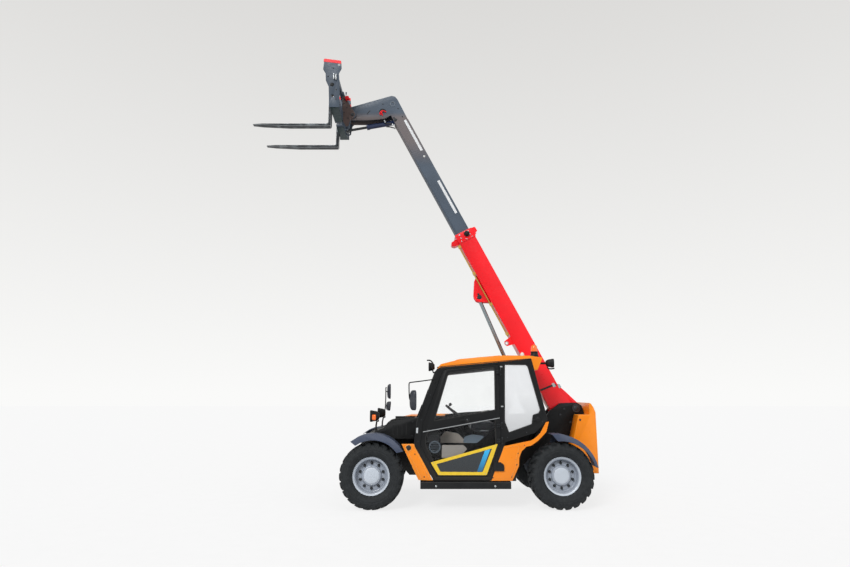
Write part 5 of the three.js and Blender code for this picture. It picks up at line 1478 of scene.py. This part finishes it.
# %% Hood slats, latches and caps
HOOD_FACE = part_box("engine_hood")[1][1] * 1000
frame_outline = rounded(rect(880, 1500, 772, 1030), 18)
piece("cooler_frame", plate(frame_outline, HOOD_FACE + 0.3, HOOD_FACE + 4), "engine_hood", BLACK_PLASTIC,
      bevel=1)
slats = []
for k in range(12):
    z = 792 + k * 20
    p = np.array([(x, y, zz) for x in (894, 1486)
                  for y, zz in ((HOOD_FACE + 3, z), (HOOD_FACE + 12, z + 9), (HOOD_FACE + 12, z + 12),
                                (HOOD_FACE + 3, z + 4))], float)
    slats.append((p, [[0, 1, 5, 4], [1, 2, 6, 5], [2, 3, 7, 6], [3, 0, 4, 7], [3, 2, 1, 0], [4, 5, 6, 7]]))
piece("cooler_slats", gather(*slats), "engine_hood", BLACK_PLASTIC, bevel=0.6)
piece("hood_vent_frame",
      cut([(1700, 800), (1700, 960), (1930, 960), (1930, 860), (1860, 800)], 14, HOOD_FACE + 0.3,
          HOOD_FACE + 4), "engine_hood", BLACK_PLASTIC, bevel=1)
mesh_wires = [pipe([(1712 + k * 16, HOOD_FACE + 5, 812), (1712 + k * 16, HOOD_FACE + 5, 948)], 2.2, 6)
              for k in range(10)]
mesh_wires += [pipe([(1712, HOOD_FACE + 5, 820 + k * 16), (1860, HOOD_FACE + 5, 820 + k * 16)], 2.2, 6)
               for k in range(8)]
piece("hood_vent_mesh", gather(*mesh_wires), "engine_hood", BRIGHT_STEEL, smooth=50)
latches = gather(*[cut(rect(x - 26, x + 26, 726, 760), 7, HOOD_FACE + 0.3, HOOD_FACE + 12)
                   for x in (780, 1600)],
                 *[cut(rect(x - 14, x + 20, 732, 748), 5, HOOD_FACE + 12, HOOD_FACE + 20) for x in (780, 1600)])
piece("hood_latches", latches, "engine_hood", BLACK_PLASTIC, bevel=2)
# The ribs take the lighter orange edge finish: a painted highlight along their tops.
ridge = [pipe([(x, y, 1138) for x in np.linspace(620, 2180, 30)], 6, 8) for y in (360, 500, 640, 780)]
piece("hood_top_ribs", gather(*ridge), "engine_hood", ORANGE_EDGE_HIGHLIGHT, smooth=50)
top_vent = gather(*[cut(rect(2040 + k * 26, 2052 + k * 26, 430, 700), 5, 1136.3, 1143, "z") for k in range(7)])
piece("hood_top_slots", top_vent, "engine_hood", BLACK_PLASTIC, bevel=1.5)
stack = bent_pipe([(2010, 800, 1136.5), (2010, 800, 1190), (2016, 800, 1226), (2040, 800, 1250),
                   (2076, 800, 1262)], 5, 27, 20)
collar = flip_out(turned([(28, 1137), (44, 1137), (44, 1143), (32, 1146), (28, 1150)], (2010, 800, 0), "z", 28))
piece("exhaust_outlet", stack, "engine_hood", BRIGHT_STEEL, smooth=50)
piece("exhaust_collar", collar, "engine_hood", PIN_STEEL, smooth=40)
panel_bolts = side_bolts(864,
                         ((500, 668), (900, 668), (1300, 668), (1700, 668), (700, 362), (1200, 362),
                          (1760, 362)), 1, 15)
piece("right_panel_bolts", panel_bolts, "chassis", PIN_STEEL, smooth=30)
# The ribs are drawn in the lighter orange: a painted highlight on the ridges.
rib_lines = gather(*[bent_pipe([(640, 865, z), (900, 865, z), (1760, 865, z)], 6, 5, 8) for z in (440, 540)])
piece("right_panel_ribs", rib_lines, "chassis", ORANGE_EDGE_HIGHLIGHT, smooth=50)
print("right side made")

# %% Front hood, side panels and step
hood_line = smooth_path([(150, -330, 1022), (229, -330, 1093), (400, -330, 1116), (548, -330, 1136)], 8)
ribs = [pipe(hood_line + [0, dy, 1], 7, 8) for dy in (-200, -100, 0, 110)]
piece("front_hood_ribs", gather(*ribs), "chassis", BLACK_PLASTIC, smooth=60)
side_ribs = gather(*[cut(rect(250 + k * 60, 272 + k * 60, 905, 1035 + k * 8), 8, -603.5, -600.2)
                     for k in range(4)])
piece("front_hood_side_slots", side_ribs, "chassis", BLACK_PLASTIC, bevel=1)
hood_screws = side_bolts(-600.2, ((-90, 885), (60, 930), (520, 900), (520, 1080), (160, 985)), -1, 14)
piece("front_hood_screws", hood_screws, "chassis", PIN_STEEL, smooth=30)
# Thin dark strips on the nose: painted shade for grille slots.
nose_shade_strips = gather(*[plate(rect(y, y + 8, 620, 740), -191.5, -190.2, "x") for y in range(-70, 180, 22)])
piece("nose_slot_painted_shade", nose_shade_strips, "chassis", HOSE_RUBBER)
tow = gather(cut([(-230, 590), (-230, 640), (-180, 660), (-180, 570)], 14, 20, 42),
             cut([(-230, 590), (-230, 640), (-180, 660), (-180, 570)], 14, 58, 80),
             pipe([(-212, 8, 615), (-212, 92, 615)], 12, 16))
piece("front_tow_eye", tow, "chassis", BLACK, bevel=2)
# The port's lip is in the lighter orange: a painted highlight round its rim.
port_ring = turned([(34, -4), (38, -7), (43, -5), (45, 0)], (478, CAB_FACE, 768), segments=40)
piece("panel_port_ring", port_ring, "chassis", ORANGE_EDGE_HIGHLIGHT, smooth=40)
# A thin black disc inside the ring: painted shade for the hole's dark inside.
port_shade_disc = turned([(0, -2.5), (34, -2.5), (36, -1)], (478, CAB_FACE, 768), segments=40)
piece("panel_port", port_shade_disc, "chassis", HOSE_RUBBER, smooth=40)
# The ribs are drawn in the lighter orange: a painted highlight on the ridges.
panel_rib = gather(pipe([(430, CAB_FACE - 1, 790), (560, CAB_FACE - 1, 560), (640, CAB_FACE - 1, 392)], 5, 8),
                   pipe([(540, CAB_FACE - 1, 800), (660, CAB_FACE - 1, 560), (748, CAB_FACE - 1, 384)], 5, 8))
piece("front_panel_ribs", panel_rib, "chassis", ORANGE_EDGE_HIGHLIGHT, smooth=50)
side_screws = side_bolts(CAB_FACE - 0.2,
                         ((560, 690), (680, 410), (1560, 400), (1800, 410), (1870, 560), (1890, 700),
                          (1980, 800)), -1, 13)
piece("side_panel_screws", side_screws, "chassis", PIN_STEEL, smooth=30)
# The fold is a thin tube in the lighter orange: a painted highlight along the fold.
fold = bent_pipe([(1720, CAB_FACE - 1, 770), (1860, CAB_FACE - 1, 790), (1900, CAB_FACE - 1, 770),
                  (1862, CAB_FACE - 1, 640), (1852, CAB_FACE - 1, 540), (1790, CAB_FACE - 1, 400)], 8, 4, 8)
piece("rear_panel_fold", fold, "chassis", ORANGE_EDGE_HIGHLIGHT, smooth=50)
cab_edge = rounded([(1980, 806), (2030, 846), (2112, 888), (2184, 952), (2264, 1092), (2304, 1100), (2264, 966),
                    (2153, 856), (2060, 796), (1980, 780)], 8)
piece("rear_panel_edge", plate(cab_edge, CAB_FACE - 7, CAB_FACE - 1), "chassis", ORANGE,
      bevel=1.5)
STEP_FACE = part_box("side_step")[0][1] * 1000
tread = gather(*[cut(rect(x, x + 14, -892, -720), 6, 353, 357, "z") for x in range(660, 1760, 44)])
piece("step_tread_bars", tread, "chassis", BLACK_PLASTIC, bevel=1.2)
step_bolts = bolts([(x, STEP_FACE - 0.2, 300) for x in (830, 1585)], (0, -1, 0), 20)
piece("step_bolts", step_bolts, "chassis", BRIGHT_STEEL, smooth=30)
# The step's front lip is a thin tube in the lighter black: a painted highlight along the edge.
step_lip = pipe([(634, STEP_FACE - 1, 348), (1785, STEP_FACE - 1, 348)], 4, 8)
piece("step_front_lip", step_lip, "chassis", BLACK_EDGE_HIGHLIGHT, smooth=50)
print("left side made")

# %% Rear weight, frame bolts and tank cap
TAIL_X = WHEELBASE + 621
TAIL_FOLD_Z, TAIL_LEAN = 1199, 23 / 68
red_parts, amber_parts = [], []
for s in BOTH:
    for part, y0, y1 in ((red_parts, 212, 268), (amber_parts, 272, 304)):
        q = rounded(rect(y0, y1, 1214, 1254), 8)
        q = q * [s, 1]
        p, f = plate(q, 0, 7, "x")
        p[:, 0] += TAIL_X - 3 - np.clip((p[:, 2] - TAIL_FOLD_Z) * TAIL_LEAN, 0, 40)
        part.append((p, f))
piece("tail_lenses", gather(*red_parts), "chassis", RED_LENS, bevel=2)
piece("rear_turn_lenses", gather(*amber_parts), "chassis", AMBER, bevel=2)
weight_bolts = gather(bolts([(TAIL_X - 7, y, z) for y in (-290, 290) for z in (470, 1120)], (1, 0, 0), 22, 6),
                      bolts([(WHEELBASE + x, -365, z) for x, z in ((400, 1100), (400, 760), (500, 470))],
                            (0, -1, 0), 24),
                      bolts([(WHEELBASE + x, 365, z) for x, z in ((400, 1100), (400, 760), (500, 470))],
                            (0, 1, 0), 24))
piece("rear_weight_bolts", weight_bolts, "chassis", PIN_STEEL, smooth=30)
FRAME_L, FRAME_R = BOOM_Y - 145, BOOM_Y + 145
pivot_caps = cap_pair([(0, 26), (26, 26), (33, 23), (35, 18), (58, 17), (61, 12), (62, 8)],
                      (BOOM_PIVOT[0], FRAME_L - 0.5, BOOM_PIVOT[1]),
                      (BOOM_PIVOT[0], FRAME_R + 0.5, BOOM_PIVOT[1]), 40)
piece("boom_pivot_caps", pivot_caps, "chassis", PIN_STEEL, smooth=35)
frame_bolts = gather(*[bolts([(x, y, z) for x, z in ((2640, 1160), (2700, 1240), (2905, 1150), (2780, 1050),
                                                     (-120, 640), (-120, 800), (-30, 640), (110, 640),
                                                    (2300, 640), (2600, 640), (2860, 700), (640, 600),
                                                    (640, 500))], (0, s, 0), 26)
                       for y, s in ((FRAME_L, -1), (FRAME_R, 1))])
piece("frame_bolts", frame_bolts, "chassis", PIN_STEEL, smooth=30)
base_pin = cap_pair([(0, 8), (20, 8), (27, 5), (28, 0)], (WHEELBASE - 20, FRAME_L, 660),
                    (WHEELBASE - 20, FRAME_R, 660), 28)
piece("lift_base_pin_ends", base_pin, "chassis", PIN_STEEL, smooth=35)
tank_cap = flip_out(turned([(0, 26), (28, 26), (33, 22), (34, 6), (40, 4), (40, 0)], (1790, -790, 700), "z",
                           32))
piece("tank_cap", tank_cap, "chassis", BLACK_PLASTIC, smooth=38)
print("rear made")

# %% Axle and hub fittings
axle_bolts = []
for x in (0.0, WHEELBASE):
    for s in BOTH:
        axle_bolts.append(bolts([(x + dx, s * 590, AXLE_Z + 123.5) for dx in (-34, 34)], (0, 0, 1), 22))
        axle_bolts.append(bolts(circle_of(8, 108, (x, s * 120, AXLE_Z)), (0, s, 0), 16))
piece("axle_bolts", gather(*axle_bolts), "chassis", PIN_STEEL, smooth=30)
print("axles made")

# %% [markdown]
# ## Camera, light and floor
#
# The machine is seen square on to its cab side, from below the middle of the boom, with a lens
# that takes in the whole of the raised boom. The light is a plain studio's: a broad soft sky, one
# wide lamp from the upper left and a weaker one from the right, at a level at which a colour looks
# about as it is written.

# %% Camera
camera_data = bpy.data.cameras.new("camera")
camera_data.sensor_width, camera_data.lens = 36.0, 24.0
camera = bpy.data.objects.new("camera", camera_data)
camera.location = (0.69 + FRONT_AXLE_X, -8.4707, 1.4563)
camera.rotation_euler = (math.radians(101.0), 0.0, 0.0)
bpy.context.collection.objects.link(camera)
bpy.context.scene.camera = camera
print("camera", tuple(round(v, 3) for v in camera.location))

# %% Sky and lamps
def lamp(name, strength, size, towards):
    """A far away lamp: its light travels along the given direction, spread over that many degrees."""
    data = bpy.data.lights.new(name, "SUN")
    data.energy, data.angle = strength, math.radians(size)
    obj = bpy.data.objects.new(name, data)
    length = math.sqrt(sum(v * v for v in towards))
    obj.rotation_euler = (math.acos(-towards[2] / length), 0.0,
                          math.atan2(towards[1], towards[0]) - math.pi / 2)
    bpy.context.collection.objects.link(obj)


lamp("wide_lamp_upper_left", 2.0, 24, (0.42, 0.8, -0.62))
lamp("fill_lamp_right", 0.55, 60, (-0.75, 0.6, -0.3))
world = bpy.data.worlds.new("pale_studio")
world.use_nodes = True
bpy.context.scene.world = world
sky = world.node_tree
sky.nodes.clear()
upward = add(sky, "ShaderNodeSeparateXYZ",
             {"Vector": add(sky, "ShaderNodeTexCoord").outputs["Generated"]}).outputs["Z"]
paper = ramp(sky,
             add(sky, "ShaderNodeMapRange", {"Value": upward, "From Min": 0.0, "From Max": 0.62}).outputs[0],
             [(0.0, linear("#FAFAF9")), (1.0, linear("#DBDAD8"))])
soft = ramp(sky,
            add(sky, "ShaderNodeMapRange", {"Value": upward, "From Min": -0.4, "From Max": 0.9}).outputs[0],
            [(0.0, grey(0.2)), (0.35, grey(0.34)), (1.0, grey(0.62))])
ray = add(sky, "ShaderNodeLightPath")
shown = add(sky, "ShaderNodeMath", {0: ray.outputs["Is Camera Ray"], 1: ray.outputs["Is Glossy Ray"]},
            operation="MAXIMUM")
shown = add(sky, "ShaderNodeMath", {0: shown.outputs[0], 1: ray.outputs["Is Transmission Ray"]},
            operation="MAXIMUM")
light = add(sky, "ShaderNodeMix", {0: shown.outputs[0], 6: soft, 7: paper}, data_type="RGBA")
background = add(sky, "ShaderNodeBackground", {"Color": light.outputs[2], "Strength": 1.0})
add(sky, "ShaderNodeOutputWorld", {"Surface": background.outputs[0]})
print("sky and two lamps")

# %% Floor
def studio_floor():
    """White paper: a diffuse share that takes the shadow, and a plain white share for what the camera sees."""
    material, tree, output, place = new_finish("white_studio_paper")
    fibre = add(tree, "ShaderNodeTexNoise", {"Vector": place, "Scale": 1 / (200 * MM)})
    tone = ramp(tree, fibre.outputs["Fac"], [(0.2, grey(0.46)), (0.8, grey(0.50))])
    diffuse = add(tree, "ShaderNodeBsdfDiffuse", {"Color": tone})
    white = add(tree, "ShaderNodeEmission", {"Color": grey(1.0), "Strength": 1.2})
    ray = add(tree, "ShaderNodeLightPath")
    seen = add(tree, "ShaderNodeMath", {0: ray.outputs["Is Camera Ray"], 1: ray.outputs["Is Glossy Ray"]},
               operation="MAXIMUM")
    share = add(tree, "ShaderNodeMath", {0: seen.outputs[0], 1: 0.65}, operation="MULTIPLY")
    mix = add(tree, "ShaderNodeMixShader", {0: share.outputs[0], 1: diffuse.outputs[0], 2: white.outputs[0]})
    tree.links.new(mix.outputs[0], output.inputs["Surface"])
    return material


across_floor = np.linspace(-60, 60, 9)
gx, gy = np.meshgrid(across_floor, across_floor, indexing="ij")
floor_mesh = bpy.data.meshes.new("studio_floor")
floor_mesh.from_pydata(np.stack([gx, gy, np.full_like(gx, -0.0005)], -1).reshape(-1, 3).tolist(), [],
                       grid_faces(9, 9).tolist())
floor_mesh.materials.append(studio_floor())
studio_floor_object = bpy.data.objects.new("studio_floor", floor_mesh)
bpy.context.collection.objects.link(studio_floor_object)
bpy.context.scene.view_settings.view_transform = "Standard"
print("floor laid")
